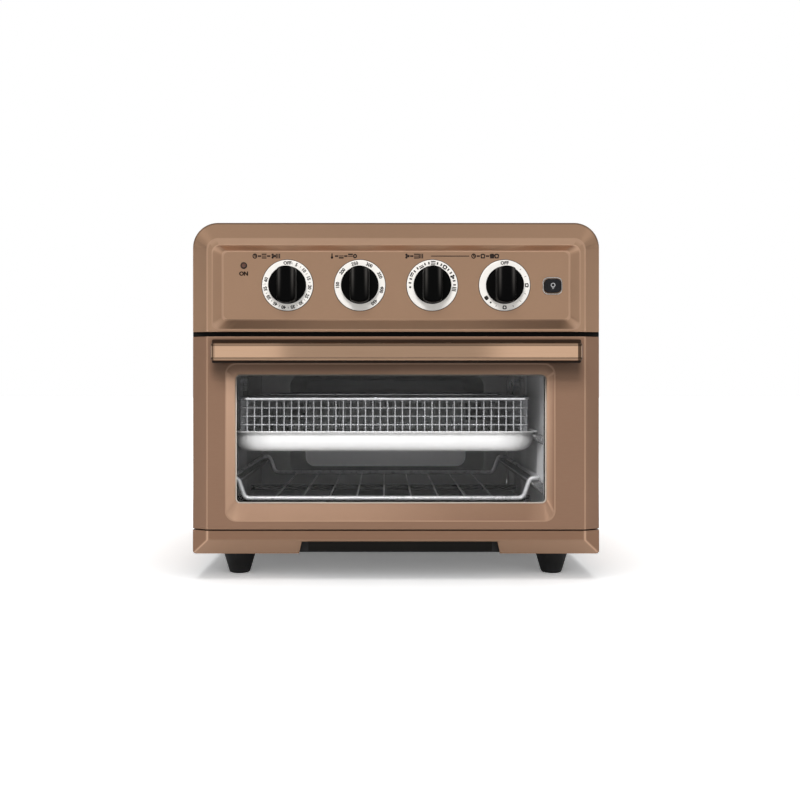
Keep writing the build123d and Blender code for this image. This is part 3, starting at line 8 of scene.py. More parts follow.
import bpy
import numpy as np
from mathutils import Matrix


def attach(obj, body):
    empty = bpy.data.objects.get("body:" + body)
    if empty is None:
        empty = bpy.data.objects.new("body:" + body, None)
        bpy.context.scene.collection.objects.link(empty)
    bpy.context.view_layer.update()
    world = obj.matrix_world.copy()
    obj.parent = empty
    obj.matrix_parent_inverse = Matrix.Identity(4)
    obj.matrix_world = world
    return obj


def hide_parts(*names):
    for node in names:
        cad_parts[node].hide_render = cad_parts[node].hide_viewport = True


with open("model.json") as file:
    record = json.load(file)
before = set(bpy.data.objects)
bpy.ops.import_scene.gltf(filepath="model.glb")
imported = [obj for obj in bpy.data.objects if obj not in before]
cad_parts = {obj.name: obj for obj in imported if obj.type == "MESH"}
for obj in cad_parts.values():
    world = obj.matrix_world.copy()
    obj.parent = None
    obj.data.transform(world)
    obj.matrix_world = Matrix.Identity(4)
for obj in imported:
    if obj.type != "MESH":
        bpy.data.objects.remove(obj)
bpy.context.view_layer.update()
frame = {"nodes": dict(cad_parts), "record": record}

# The look of an air fryer toaster oven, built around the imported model.
# Lengths are millimetres unless a name ends in _m, and depths are measured back from the ridge plane.

LOG = logging.getLogger("toaster_oven")
MM = 0.001
# The ridge plane of the front, which all depths are measured from.
FRONT_Y = -163.0
# Edges that turn by more than this are shown sharp.
SHARP_ANGLE = math.radians(32.0)
# Name of the mesh attribute that holds each point's painted highlight or painted shade.
PAINTED_LIGHT_NAME = "painted_light"
# Depth from which a ring of a pressing lies behind its ridge, and the radius of its square corners.
BEHIND_RIDGE = 1.4
SMALL_CORNER = 0.4
# Longest cut of a rounded corner as a share of its side, and the place of its holding row in cuts.
LONGEST_CUT = 0.46
HOLDING = 1.07
# Height of a capital in the typeface as a share of its size.
CAPITAL_SHARE = 0.72
COAT_ROUGHNESS = 0.1
TO_FRONT = (0.0, -1.0, 0.0)
WHITE = (1.0, 1.0, 1.0, 1.0)
# Short names of types. A box is left, right, low and high, and a flat shape is its points and faces.
Array = np.ndarray
Pair = tuple[float, float]
Vector3 = tuple[float, float, float]
Box = tuple[float, float, float, float]
Stops = Sequence[Pair]
Flat = tuple[Array, list[list[int]]]
Piece = bpy.types.Object
Tree = bpy.types.NodeTree
Socket = bpy.types.NodeSocket


# Meshes worked out with numpy


def grid_faces(rows: int, columns: int, wrap: bool = False) -> Array:
    """Quads of a grid whose points run along the columns first.

    Args:
        rows: Number of point rows.
        columns: Number of points in a row.
        wrap: True where the last column joins the first.

    Returns:
        One row of four point numbers for each quad.
    """
    across = columns if wrap else columns - 1
    row, column = np.meshgrid(np.arange(rows - 1), np.arange(across), indexing="ij")
    beside = (column + 1) % columns
    low, high = row * columns, (row + 1) * columns
    return np.stack([low + column, low + beside, high + beside, high + column], -1).reshape(-1, 4)


def turned_out(points: Array, faces: list[list[int]], towards: Vector3 | None) -> list[list[int]]:
    """Reverses the faces where the shell points inwards.

    The sign of the volume under the shell, or of its summed face areas along a direction, tells which way it
    points.

    Args:
        points: Corner places.
        faces: Corner numbers of each face.
        towards: Direction an open shell faces, or None for a closed shell.

    Returns:
        The faces, all reversed or all as they were.
    """
    fans = np.array([(f[0], a, b) for f in faces for a, b in zip(f[1:-1], f[2:])])
    a, b, c = (points[fans[:, k]] for k in range(3))
    area = np.cross(b - a, c - a)
    if towards is None:
        score = np.einsum("ij,ij->", a - points.mean(0), area)
    else:
        score = area.sum(0) @ np.array(towards)
    return faces if score >= 0 else [face[::-1] for face in faces]


class Shell:
    """Collects surfaces in millimetres and turns them into one mesh object in metres."""

    def __init__(self) -> None:
        """Starts with no points and no faces."""
        self.points: list[Array] = []
        self.painted_marks: list[Array] = []
        self.faces: list[list[int]] = []
        self.count = 0

    def add(
        self, points: Array, faces: Array | list, towards: Vector3 | None = None, painted_marks: Array | None = None
    ) -> "Shell":
        """Adds a surface.

        Args:
            points: Corner places, in any shape that ends in three.
            faces: Corner numbers of each face.
            towards: Direction an open surface faces, or None where it is closed.
            painted_marks: Painted highlight or painted shade of each corner, from nought to one.

        Returns:
            This shell.
        """
        flat = np.asarray(points, float).reshape(-1, 3)
        listed = [list(map(int, face)) for face in faces]
        listed = turned_out(flat, listed, towards)
        self.faces += [[corner + self.count for corner in face] for face in listed]
        self.points.append(flat)
        self.painted_marks.append(np.zeros(len(flat)) if painted_marks is None else np.asarray(painted_marks, float).reshape(-1))
        self.count += len(flat)
        return self

    def rings(
        self,
        rings: Array,
        towards: Vector3 | None = None,
        ends: tuple[bool, bool] = (True, True),
        painted_marks: Array | None = None,
        looped: bool = False,
    ) -> "Shell":
        """Adds a skin over closed rings, with a flat cap on either end where asked.

        Args:
            rings: Places as ring, point and axis.
            towards: Direction an open skin faces, or None where it is closed.
            ends: Whether the first and the last ring are capped.
            painted_marks: Painted highlight or painted shade of each corner, from nought to one.
            looped: True where the last ring joins the first, so that there are no ends.

        Returns:
            This shell.
        """
        rows, columns = rings.shape[:2]
        faces = (grid_faces(rows + int(looped), columns, True) % (rows * columns)).tolist()
        ends = (False, False) if looped else ends
        if ends[0]:
            faces.append(list(range(columns))[::-1])
        if ends[1]:
            faces.append([(rows - 1) * columns + k for k in range(columns)])
        return self.add(rings, faces, towards, painted_marks)

    def object(self, name: str, sharp: float = SHARP_ANGLE) -> Piece:
        """Makes the mesh object.

        Args:
            name: Name of the object and its mesh.
            sharp: Angle past which an edge is shown sharp, in radians.

        Returns:
            The new object, at the origin.
        """
        mesh = bpy.data.meshes.new(name)
        mesh.from_pydata((np.vstack(self.points) * MM).tolist(), [], self.faces)
        painted_light = mesh.attributes.new(PAINTED_LIGHT_NAME, "FLOAT", "POINT")
        painted_light.data.foreach_set("value", np.concatenate(self.painted_marks).astype(np.float32))
        mesh.shade_smooth()
        mesh.set_sharp_from_angle(angle=sharp)
        made = bpy.data.objects.new(name, mesh)
        bpy.context.scene.collection.objects.link(made)
        return made


def softened(profile: Array, cuts: Sequence[float], steps: int = 5) -> Array:
    """Rounds the inner corners of a polyline in any number of dimensions.

    Each corner becomes a parabola between two points at the cut's length from it, with a holding row just
    outside each, so that the flats beside the bend stay flat to the eye.

    Args:
        profile: One row for each corner.
        cuts: Length taken from both sides of each corner; the first and last are not used.
        steps: Pieces each bend is divided into.

    Returns:
        The rows of the rounded polyline.
    """
    parts = [profile[:1]]
    blend = np.linspace(0.0, 1.0, steps + 1)[:, None]
    for before, corner, after, cut in zip(profile[:-2], profile[1:-1], profile[2:], cuts[1:-1]):
        if not cut:
            parts.append(corner[None])
            continue
        back, on = before - corner, after - corner
        back_share, on_share = (min(cut / np.abs(side).max(), LONGEST_CUT) for side in (back, on))
        start, end = corner + back * back_share, corner + on * on_share
        curve = (1 - blend) ** 2 * start + 2 * blend * (1 - blend) * corner + blend**2 * end
        held = [corner + back * back_share * HOLDING, corner + on * on_share * HOLDING]
        parts += [held[0][None], curve, held[1][None]]
    parts.append(profile[-1:])
    return np.vstack(parts)


def bend_marks(cuts: Sequence[float], steps: int = 5) -> Array:
    """Marks the rows that softened places inside a bend.

    Args:
        cuts: The same lengths that softened is given.
        steps: Pieces each bend is divided into.

    Returns:
        One for the rows inside a bend and nought for the others.
    """
    parts = [[0.0]]
    parts += [[0.0] + [1.0] * (steps + 1) + [0.0] if cut else [0.0] for cut in cuts[1:-1]]
    return np.array(sum(parts, []) + [0.0])


def framed_rings(profile: Array, arc: int = 9, side: int = 24, low_marks: Array | None = None) -> Array:
    """Rounded rectangles that face the front, one for each profile row.

    A row holds left, right, low, high, the radius of the two low corners, that of the two high ones, and the
    depth. Each corner is a quarter circle. Points along a side lie between the ends of its corners, spread as
    the cosine of an even angle is.

    Args:
        profile: One row of the seven numbers for each ring.
        arc: Points in each corner.
        side: Points along each side.
        low_marks: Fixed places along X for the low side of the rows behind the ridge, where it has slots.

    Returns:
        Places as ring, point and axis.
    """
    left, right, low, high, round_low, round_high, depth = profile.T[..., None]
    corners = (
        (right - round_high, high - round_high, round_high, 0.0),
        (left + round_high, high - round_high, round_high, 90.0),
        (left + round_low, low + round_low, round_low, 180.0),
        (right - round_low, low + round_low, round_low, 270.0),
    )
    arcs = []
    for middle_x, middle_z, radius, start in corners:
        angle = np.radians(np.linspace(start, start + 90.0, arc))[None]
        arcs.append((middle_x + radius * np.cos(angle), middle_z + radius * np.sin(angle)))
    share = (0.5 - 0.5 * np.cos(np.linspace(0.0, np.pi, side + 2)[1:-1]))[None]
    xs, zs = [], []
    for index, (arc_x, arc_z) in enumerate(arcs):
        next_x, next_z = arcs[(index + 1) % 4]
        side_x = arc_x[:, -1:] + share * (next_x[:, :1] - arc_x[:, -1:])
        side_z = arc_z[:, -1:] + share * (next_z[:, :1] - arc_z[:, -1:])
        if index == 2 and low_marks is not None:
            outermost = (depth > BEHIND_RIDGE) & (low < low.min() + 2.5)
            side_x = np.where(outermost, low_marks[None], side_x)
        xs += [arc_x, side_x]
        zs += [arc_z, side_z]
    x, z = np.concatenate(xs, 1), np.concatenate(zs, 1)
    return np.stack([x, np.broadcast_to(FRONT_Y + depth, x.shape), z], -1)


def turned(profile: Array, centre: Vector3, axis: str = "y", segments: int = 64) -> Array:
    """Rings of a turned shape.

    A profile row is a radius and a height, and each ring is a circle of that radius at that height along the
    axis.

    Args:
        profile: Rows of radius and height along the axis.
        centre: Place of the axis at height nought.
        axis: Letter of the axis, x, y or z.
        segments: Points in each ring.

    Returns:
        Places as ring, point and axis.
    """
    angle = np.linspace(0.0, 2 * np.pi, segments, endpoint=False)[None]
    first = profile[:, :1] * np.cos(angle)
    second = profile[:, :1] * np.sin(angle)
    along = np.broadcast_to(profile[:, 1:], first.shape)
    order = {"x": (along, first, second), "y": (first, along, second), "z": (first, second, along)}[axis]
    return np.stack(order, -1) + np.array(centre)


def swept(path: Array, radius: float, sides: int = 8, closed: bool = False) -> Array:
    """Rings of a round wire along a path.

    Each ring is a circle square to the path's direction. It starts from the cross product of that direction
    and the axis that the path follows least.

    Args:
        path: Points along the wire's middle.
        radius: Wire radius.
        sides: Points in each ring.
        closed: True where the path's end meets its start.

    Returns:
        Places as ring, point and axis.
    """
    if closed:
        run = np.roll(path, -1, 0) - np.roll(path, 1, 0)
    else:
        run = np.gradient(path, axis=0)
    run = run / np.linalg.norm(run, axis=1, keepdims=True)
    lean = np.abs(run).max(0)
    helper = np.eye(3)[int(np.argmin(lean))]
    side = np.cross(run, helper)
    side /= np.linalg.norm(side, axis=1, keepdims=True)
    up = np.cross(side, run)
    angle = np.linspace(0.0, 2 * np.pi, sides, endpoint=False)[None, :, None]
    return path[:, None] + radius * (np.cos(angle) * side[:, None] + np.sin(angle) * up[:, None])


def rounded_path(corners: Array, cut: float, steps: int = 6, closed: bool = False) -> Array:
    """Path through corners, each rounded as a bent wire is.

    Args:
        corners: Corner places.
        cut: Length taken from both sides of each corner.
        steps: Pieces each bend is divided into.
        closed: True where the path is a loop.

    Returns:
        Points along the path.
    """
    if closed:
        middle = (corners[0] + corners[-1]) / 2
        loop = np.vstack([middle, corners, middle])
        return softened(loop, [cut] * len(loop), steps)[:-1]
    return softened(corners, [cut] * len(corners), steps)


# Finishes


def linear(code: str) -> Box:
    """Turns an sRGB hex value into linear colour.

    Args:
        code: Six hex digits.

    Returns:
        Linear red, green, blue and an alpha of one.
    """
    shares = np.array([int(code[k : k + 2], 16) for k in (0, 2, 4)]) / 255.0
    low, high = shares / 12.92, ((shares + 0.055) / 1.055) ** 2.4
    return (*np.where(shares <= 0.04045, low, high).tolist(), 1.0)


def add_node(tree: Tree, kind: str, inputs: dict, **settings: object) -> bpy.types.Node:
    """Adds a node with its settings, values and links.

    Args:
        tree: Tree that gets the node.
        kind: Blender's name of the node type.
        inputs: Value or linked output for each named or numbered input.
        settings: Attributes of the node.

    Returns:
        The new node.
    """
    made = tree.nodes.new(kind)
    for name, value in settings.items():
        setattr(made, name, value)
    for name, value in inputs.items():
        if isinstance(value, bpy.types.NodeSocket):
            tree.links.new(value, made.inputs[name])
        else:
            made.inputs[name].default_value = value
    return made


def ramped(tree: Tree, share: Socket, levels: Stops) -> Socket:
    """Adds a colour ramp of grey stops.

    Args:
        tree: Node tree that gets it.
        share: Place along the ramp, from nought to one.
        levels: Place and brightness of each stop, in rising order.

    Returns:
        The grey, as a colour.
    """
    ramp = add_node(tree, "ShaderNodeValToRGB", {"Fac": share})
    elements = ramp.color_ramp.elements
    while len(elements) < len(levels):
        elements.new(1.0)
    for element, (place, level) in zip(elements, levels):
        element.position = place
        element.color = (level, level, level, 1.0)
    return ramp.outputs[0]


def maths(tree: Tree, operation: str, first: object, second: object = 0.0, clamped: bool = False) -> Socket:
    """Adds one step of arithmetic.

    Args:
        tree: Node tree that gets it.
        operation: Blender's name of the operation.
        first: Number or linked output.
        second: Number or linked output, where the operation has two.
        clamped: Whether the result is kept between nought and one.

    Returns:
        The result.
    """
    return add_node(
        tree, "ShaderNodeMath", {0: first, 1: second}, operation=operation, use_clamp=clamped
    ).outputs[0]


def ranged(
    tree: Tree, value: Socket, start: float, end: float, low: float = 0.0, high: float = 1.0
) -> Socket:
    """Carries a value from one range to another, and keeps it within that.

    Args:
        tree: Node tree that gets it.
        value: The value.
        start: Where the first range starts.
        end: Where it ends.
        low: What its start becomes.
        high: What its end becomes.

    Returns:
        The new value.
    """
    ends = {"From Min": start, "From Max": end, "To Min": low, "To Max": high}
    return add_node(tree, "ShaderNodeMapRange", {"Value": value, **ends}).outputs[0]


def blended(tree: Tree, share: object, first: object, second: object, kind: str = "MIX") -> Socket:
    """Blends two colours.

    Args:
        tree: Node tree that gets it.
        share: Share of the second, as a number or linked output.
        first: Colour or linked output.
        second: Colour or linked output.
        kind: Blender's name of the way of blending.

    Returns:
        The colour.
    """
    inputs = {0: share, 6: first, 7: second}
    return add_node(tree, "ShaderNodeMix", inputs, data_type="RGBA", blend_type=kind).outputs[2]


def multiplied(tree: Tree, colour: Socket, level: Socket) -> Socket:
    """Multiplies a colour by a level, given as a number or a grey colour."""
    return blended(tree, 1.0, colour, level, "MULTIPLY")


def noise(tree: Tree, place: Socket, scale: float, detail: float = 2.0, roughness: float = 0.5) -> Socket:
    """Gives procedural noise at a place."""
    inputs = {"Vector": place, "Scale": scale, "Detail": detail, "Roughness": roughness}
    return add_node(tree, "ShaderNodeTexNoise", inputs).outputs[0]


def own_place(tree: Tree) -> Socket:
    """Gives the place on the object itself, in metres."""
    return add_node(tree, "ShaderNodeTexCoord", {}).outputs["Object"]


def axes(tree: Tree, vector: Socket) -> bpy.types.bpy_prop_collection:
    """Gives the three parts of a vector, by the names of the axes."""
    return add_node(tree, "ShaderNodeSeparateXYZ", {"Vector": vector}).outputs


def painted_light_mark(tree: Tree) -> Socket:
    """Gives the mesh's own attribute of painted highlight and painted shade."""
    return add_node(tree, "ShaderNodeAttribute", {}, attribute_name=PAINTED_LIGHT_NAME).outputs["Fac"]


def seen_ray(tree: Tree) -> Socket:
    """Gives one for rays from the camera and for those through glass, and nought for others."""
    path = add_node(tree, "ShaderNodeLightPath", {}).outputs
    return maths(tree, "MAXIMUM", path["Is Camera Ray"], path["Is Transmission Ray"])


def level_along(tree: Tree, distance: Socket, stops: Stops) -> Socket:
    """Gives a grey level that follows a distance from stop to stop.

    Args:
        tree: Node tree of the material.
        distance: Distance in metres.
        stops: Distance in millimetres and level of each stop, in rising order.

    Returns:
        The level, as a colour.
    """
    low, high = stops[0][0], stops[-1][0]
    share = ranged(tree, distance, low * MM, high * MM)
    return ramped(tree, share, [((place - low) / (high - low), level) for place, level in stops])


@dataclass(frozen=True)
class Finish:
    """A surface with a grain: two close shades, a range of roughness and a fine relief, from real sizes."""

    name: str
    colour: str
    shade: str
    grain: Vector3
    relief: float
    roughness: Pair
    metallic: float = 0.0
    mottle: float = 60.0
    coat: float = 0.0
    sheen: float = 0.0
    specular: float = 0.5

    def material(self) -> bpy.types.Material:
        """Makes the material once, and gives the same one again after that.

        Returns:
            The material.
        """
        found = bpy.data.materials.get(self.name)
        if found is not None:
            return found
        made = bpy.data.materials.new(self.name)
        made.use_nodes = True
        made.node_tree.nodes.clear()
        self.fill(made.node_tree)
        return made

    def fill(self, tree: Tree) -> None:
        """Puts the nodes in: stretched noise for the grain, broad noise for the mottle.

        Args:
            tree: Empty node tree of the material.
        """
        place = own_place(tree)
        stretch = tuple(1.0 / (size * MM) for size in self.grain)
        spread = add_node(tree, "ShaderNodeMapping", {"Vector": place, "Scale": stretch}).outputs[0]
        fine = noise(tree, spread, 1.0, 3.0, 0.6)
        broad = noise(tree, place, 1.0 / (self.mottle * MM))
        both = maths(tree, "ADD", maths(tree, "MULTIPLY", fine, 0.7), maths(tree, "MULTIPLY", broad, 0.3))
        colour = blended(tree, ranged(tree, both, 0.32, 0.68), linear(self.shade), linear(self.colour))
        relief = {"Height": fine, "Strength": 0.6, "Distance": self.relief * MM}
        shader = add_node(
            tree,
            "ShaderNodeBsdfPrincipled",
            {
                "Base Color": self.tinted(tree, colour, place),
                "Roughness": ranged(tree, both, 0.3, 0.7, *self.roughness),
                "Normal": add_node(tree, "ShaderNodeBump", relief).outputs[0],
                "Metallic": self.metallic,
                "Specular IOR Level": self.specular,
                "Coat Weight": self.coat,
                "Coat Roughness": COAT_ROUGHNESS,
                "Sheen Weight": self.sheen,
            },
        ).outputs[0]
        add_node(tree, "ShaderNodeOutputMaterial", {"Surface": shader})

    def tinted(self, tree: Tree, colour: Socket, place: Socket) -> Socket:
        """Gives the colour that goes to the shader; kinds of finish with more to them change it."""
        return colour


@dataclass(frozen=True)
class LightPainted(Finish):
    """A metal with a painted highlight where its mark is above nought, mostly along its bends, and a painted
    shade where the mark is below nought.
    """

    highlight_colour: str = "d8b296"
    highlight_share: float = 0.32
    shade_colour: str = "4a382b"

    def tinted(self, tree: Tree, colour: Socket, place: Socket) -> Socket:
        """Mixes in the painted highlight's colour by the mesh's mark, and the painted shade's colour where
        the mark is below nought.

        Args:
            tree: Node tree of the material.
            colour: Colour with its grain.
            place: Object coordinates, not used.

        Returns:
            The colour to use.
        """
        mark = painted_light_mark(tree)
        share = maths(tree, "MULTIPLY", mark, self.highlight_share)
        lighter = blended(tree, share, colour, linear(self.highlight_colour))
        dark = maths(tree, "MULTIPLY", mark, -1.0, clamped=True)
        return blended(tree, dark, lighter, linear(self.shade_colour))


@dataclass(frozen=True)
class HandleShaded(LightPainted):
    """The door's metal, with the handle's soft shade painted on it, the same from any side."""

    stops: Stops = (
        (50.0, 1.0), (196.0, 1.0), (203.0, 0.74), (209.0, 0.5), (216.0, 0.42), (236.0, 0.45), (239.0, 0.8),
        (240.5, 1.0),
    )
    reach: Pair = (180.0, 187.0)

    def tinted(self, tree: Tree, colour: Socket, place: Socket) -> Socket:
        """Multiplies the colour with its painted light and shade by a painted shade that depends on height,
        within the handle's length.

        Args:
            tree: Node tree of the material.
            colour: Colour with its grain.
            place: Object coordinates.

        Returns:
            The colour to use.
        """
        painted_colour = super().tinted(tree, colour, place)
        parts = axes(tree, place)
        across = maths(tree, "ABSOLUTE", parts["X"])
        outside = ranged(tree, across, self.reach[0] * MM, self.reach[1] * MM)
        shade = blended(tree, outside, level_along(tree, parts["Z"], self.stops), WHITE)
        return multiplied(tree, painted_colour, shade)


@dataclass(frozen=True)
class HeightShadePainted(Finish):
    """A coating with a painted shade by height, darker towards its floor and its roof."""

    stops: Stops = (
        (50.0, 0.18), (72.0, 0.26), (98.0, 0.46), (125.0, 0.55), (160.0, 0.5), (200.0, 0.45), (240.0, 0.3)
    )

    def tinted(self, tree: Tree, colour: Socket, place: Socket) -> Socket:
        """Multiplies the colour by a level that depends on height."""
        return multiplied(tree, colour, level_along(tree, axes(tree, place)["Z"], self.stops))


@dataclass(frozen=True)
class WallShaded(HeightShadePainted):
    """The coating on a side wall, with painted light and shade in upright bands and painted light over a
    patch near the oven's mouth.

    The level is the one by height, times one plus the bands and the patch, each a level along Y times one by
    height. Faces that don't look across are those of the ledges, which get a painted shade.
    """

    bands: Stops = ((-163.0, 0.0), (149.0, 0.0))
    band_heights: Stops = ((50.0, 1.0), (240.0, 1.0))
    mouth_light: Stops = ((-163.0, 0.0), (149.0, 0.0))
    mouth_light_heights: Stops = ((50.0, 0.0), (240.0, 0.0))
    ledge_shade_level: float = 0.14

    def tinted(self, tree: Tree, colour: Socket, place: Socket) -> Socket:
        """Multiplies the colour by its level.

        How far a face counts as a ledge's follows from the square of the part of its normal across.

        Args:
            tree: Node tree of the material.
            colour: Colour with its grain.
            place: Object coordinates.

        Returns:
            The colour to use.
        """
        by_height = super().tinted(tree, colour, place)
        parts = axes(tree, place)
        total = 1.0
        for along, heights in ((self.bands, self.band_heights), (self.mouth_light, self.mouth_light_heights)):
            by_y, by_z = level_along(tree, parts["Y"], along), level_along(tree, parts["Z"], heights)
            total = maths(tree, "ADD", multiplied(tree, by_y, by_z), total)
        # Painted shade on the ledges, whose faces look up or down rather than across.
        aside = axes(tree, add_node(tree, "ShaderNodeNewGeometry", {}).outputs["Normal"])["X"]
        ledge_shade = ranged(tree, maths(tree, "MULTIPLY", aside, aside), 0.3, 0.9, self.ledge_shade_level)
        return multiplied(tree, multiplied(tree, by_height, total), ledge_shade)


@dataclass(frozen=True)
class MapShaded(Finish):
    """A surface whose painted light and shade are in the mesh's own attribute."""

    def tinted(self, tree: Tree, colour: Socket, place: Socket) -> Socket:
        """Multiplies the colour by the attribute."""
        return multiplied(tree, colour, painted_light_mark(tree))


@dataclass(frozen=True)
class ClearGlass(Finish):
    """Clear glass that lets lamps through, so that what is behind it is lit."""

    index: float = 1.5

    def fill(self, tree: Tree) -> None:
        """Puts the nodes in: glass with a faint smear of roughness, and an open shader for rays from lamps.

        Args:
            tree: Empty node tree of the material.
        """
        smear = noise(tree, own_place(tree), 1.0 / (self.mottle * MM), 3.0)
        relief = {"Height": smear, "Strength": 0.05, "Distance": self.relief * MM}
        shader = add_node(
            tree,
            "ShaderNodeBsdfPrincipled",
            {
                "Base Color": linear(self.colour),
                "Roughness": ranged(tree, smear, 0.0, 1.0, *self.roughness),
                "Normal": add_node(tree, "ShaderNodeBump", relief).outputs[0],
                "IOR": self.index,
                "Transmission Weight": 1.0,
            },
        ).outputs[0]
        path = add_node(tree, "ShaderNodeLightPath", {}).outputs
        open_ray = maths(tree, "MAXIMUM", path["Is Shadow Ray"], path["Is Diffuse Ray"])
        through = add_node(tree, "ShaderNodeBsdfTransparent", {"Color": linear(self.shade)}).outputs[0]
        mixed = add_node(tree, "ShaderNodeMixShader", {0: open_ray, 1: shader, 2: through}).outputs[0]
        add_node(tree, "ShaderNodeOutputMaterial", {"Surface": mixed})


# What the copper-toned sheets share: lines brushed along X, six millimetres long, with a very fine relief.
BRUSHED = {"grain": (6.0, 0.4, 0.4), "relief": 0.002, "mottle": 90.0}
# What the non-stick coatings share: an even fine grain and a satin shine.
NONSTICK = {
    "grain": (0.8, 0.8, 0.8), "relief": 0.006, "roughness": (0.34, 0.46), "metallic": 0.1, "mottle": 45.0,
    "specular": 0.2,
}
# What the inks share: matt, hardly any grain.
PRINTED = {"grain": (0.3, 0.3, 0.3), "relief": 0.004, "roughness": (0.5, 0.62), "mottle": 10.0}
# Copper-toned stainless steel, brushed along its length under a satin lacquer: warm, soft lines across. Its
# mesh paints highlights on the bends and shade on some slopes and edges.
COPPER_PANEL = LightPainted(
    "copper_toned_brushed_steel", "c39d81", "be997d", roughness=(0.34, 0.37), metallic=0.92, highlight_share=0.45,
    **BRUSHED,
)
# The same steel on the door, with more lacquer: the shade under the handle and the slope stays soft. Its
# colour also carries a painted shade under the handle and painted highlights and shade from the mesh.
COPPER_DOOR = HandleShaded(
    "copper_toned_lacquered_steel", "90705b", "8c6c57", roughness=(0.28, 0.31), metallic=0.6, **BRUSHED
)
# The base strip, a darker copy of the same steel that paints the shade on it, with painted highlights on the
# mitres and the lower bevel.
COPPER_TRIM = LightPainted(
    "copper_toned_strip_steel", "91705a", "8d6c56", roughness=(0.33, 0.36), metallic=0.7, highlight_share=0.4,
    **BRUSHED,
)
# The same steel polished after brushing, for the handle: it shows the studio's soft boxes. Its ends carry a
# painted shade that darkens their highlights.
COPPER_POLISHED = LightPainted(
    "copper_toned_polished_steel", "bd9c82", "b6957b", (30.0, 0.4, 0.4), 0.001, (0.05, 0.07), metallic=1.0,
    mottle=70.0,
)
# Copper-toned wrap of the cabinet, brushed front to back, a little rougher than the front.
COPPER_WRAP = Finish(
    "copper_toned_wrap_steel", "a5846c", "967660", (0.6, 30.0, 0.6), 0.012, (0.4, 0.5), metallic=0.95,
    mottle=120.0,
)
# Dark core of the handle behind its copper strap; where it shows above and below the strap, its dark colour
# paints the handle's shade.
HANDLE_CORE_AND_SHADE = Finish(
    "dark_handle_core_and_shade", "2a1b10", "20140b", (0.8, 0.8, 0.8), 0.006, (0.5, 0.6), mottle=30.0, specular=0.2,
)
# Zinc-coated chassis steel: cool grey with a cloudy, crystalline variation.
GALVANISED = Finish(
    "zinc_coated_steel", "a9adb0", "8f9497", (5.0, 5.0, 5.0), 0.02, (0.34, 0.52), metallic=1.0, mottle=25.0,
)
# Black baked enamel on sheet steel: fine orange peel, half gloss.
BLACK_ENAMEL = Finish(
    "black_baked_enamel", "1c1c1d", "151516", (1.2, 1.2, 1.2), 0.03, (0.38, 0.5), mottle=50.0,
)
# Grey non-stick coating on the cavity's steel: satin, with a painted shade near the floor and the roof.
CAVITY_COATING = HeightShadePainted("grey_nonstick_coating", "a6a7a9", "9c9d9f", **NONSTICK)
# The same coating on the right wall as a lighter copy that paints more light on it, with painted light and
# shade in upright bands by its pressed ribs, painted light near the mouth and painted shade on the ledges.
RIGHT_COATING = WallShaded(
    "grey_nonstick_right_coating", "fafafb", "f2f2f4", **NONSTICK,
    stops=(
        (50.0, 0.3), (74.0, 0.42), (98.0, 0.66), (125.0, 0.66), (160.0, 0.72), (200.0, 0.74), (240.0, 0.6)
    ),
    bands=(
        (-163.0, -0.25), (-80.0, -0.2), (-34.0, 0.0), (-18.0, 1.0), (8.0, 1.0), (22.0, 0.1), (70.0, 0.1),
        (84.0, 1.0), (118.0, 1.0), (128.0, 0.3), (138.0, -0.4), (150.0, -0.5),
    ),
    band_heights=((50.0, 1.0), (77.0, 1.0), (86.0, 0.2), (150.0, 0.2), (176.0, 1.0), (240.0, 1.0)),
    mouth_light=(
        (-163.0, 0.0), (-142.0, 0.2), (-136.0, 0.85), (-108.0, 0.85), (-98.0, 0.1), (-60.0, 0.0), (149.0, 0.0)
    ),
    mouth_light_heights=((50.0, 0.0), (78.0, 0.0), (90.0, 1.0), (138.0, 1.0), (144.0, 0.0), (240.0, 0.0)),
)
# The same coating on the left wall as a lighter copy, with painted light towards the mouth.
LEFT_COATING = WallShaded(
    "grey_nonstick_left_coating", "c2c3c5", "b8b9bb", **NONSTICK,
    bands=((-163.0, 0.6), (-60.0, 0.9), (10.0, 0.8), (22.0, 0.05), (149.0, 0.2)),
)
# The same coating on the back wall as a lighter copy, whose painted light and shade the mesh holds.
BACK_COATING = MapShaded("grey_nonstick_back_coating", "fafafb", "f2f2f4", **NONSTICK)
# Brushed inner door sheet, grey and plain.
DOOR_LINER = Finish(
    "brushed_liner_steel", "a7a5a1", "94928f", (20.0, 0.6, 0.6), 0.01, (0.3, 0.42), metallic=1.0, mottle=60.0,
)
# Moulded black phenolic knob: deep black, with a painted highlight along the two edges of its grip.
KNOB_BLACK = LightPainted(
    "moulded_black_phenolic", "070707", "040404", (0.5, 0.5, 0.5), 0.006, (0.4, 0.48), mottle=30.0,
    specular=0.02, highlight_colour="5a5754", highlight_share=0.34,
)
# Satin anodised aluminium dial plate: nearly white, with a fine even grain.
DIAL_ALUMINIUM = Finish(
    "satin_anodised_aluminium", "fcf8f2", "f2eee8", (0.4, 0.4, 0.4), 0.004, (0.34, 0.42), metallic=0.55,
    mottle=18.0,
)
# Black screen ink of the dial marks.
SCREEN_INK = Finish("black_screen_ink", "1b1612", "120f0c", **PRINTED)
# Brown-black ink of the legends on the copper panel.
LEGEND_INK = Finish("brown_screen_ink", "1c0e06", "150a04", **PRINTED)
# Pale grey ink of the button's mark.
PALE_INK = Finish("pale_screen_ink", "9a9a9a", "8c8c8c", **PRINTED)
# Moulded dark button cap, smoother than the knobs.
BUTTON_BLACK = Finish(
    "moulded_dark_button", "18181a", "121214", (0.5, 0.5, 0.5), 0.004, (0.24, 0.32), mottle=12.0,
    specular=0.2,
)
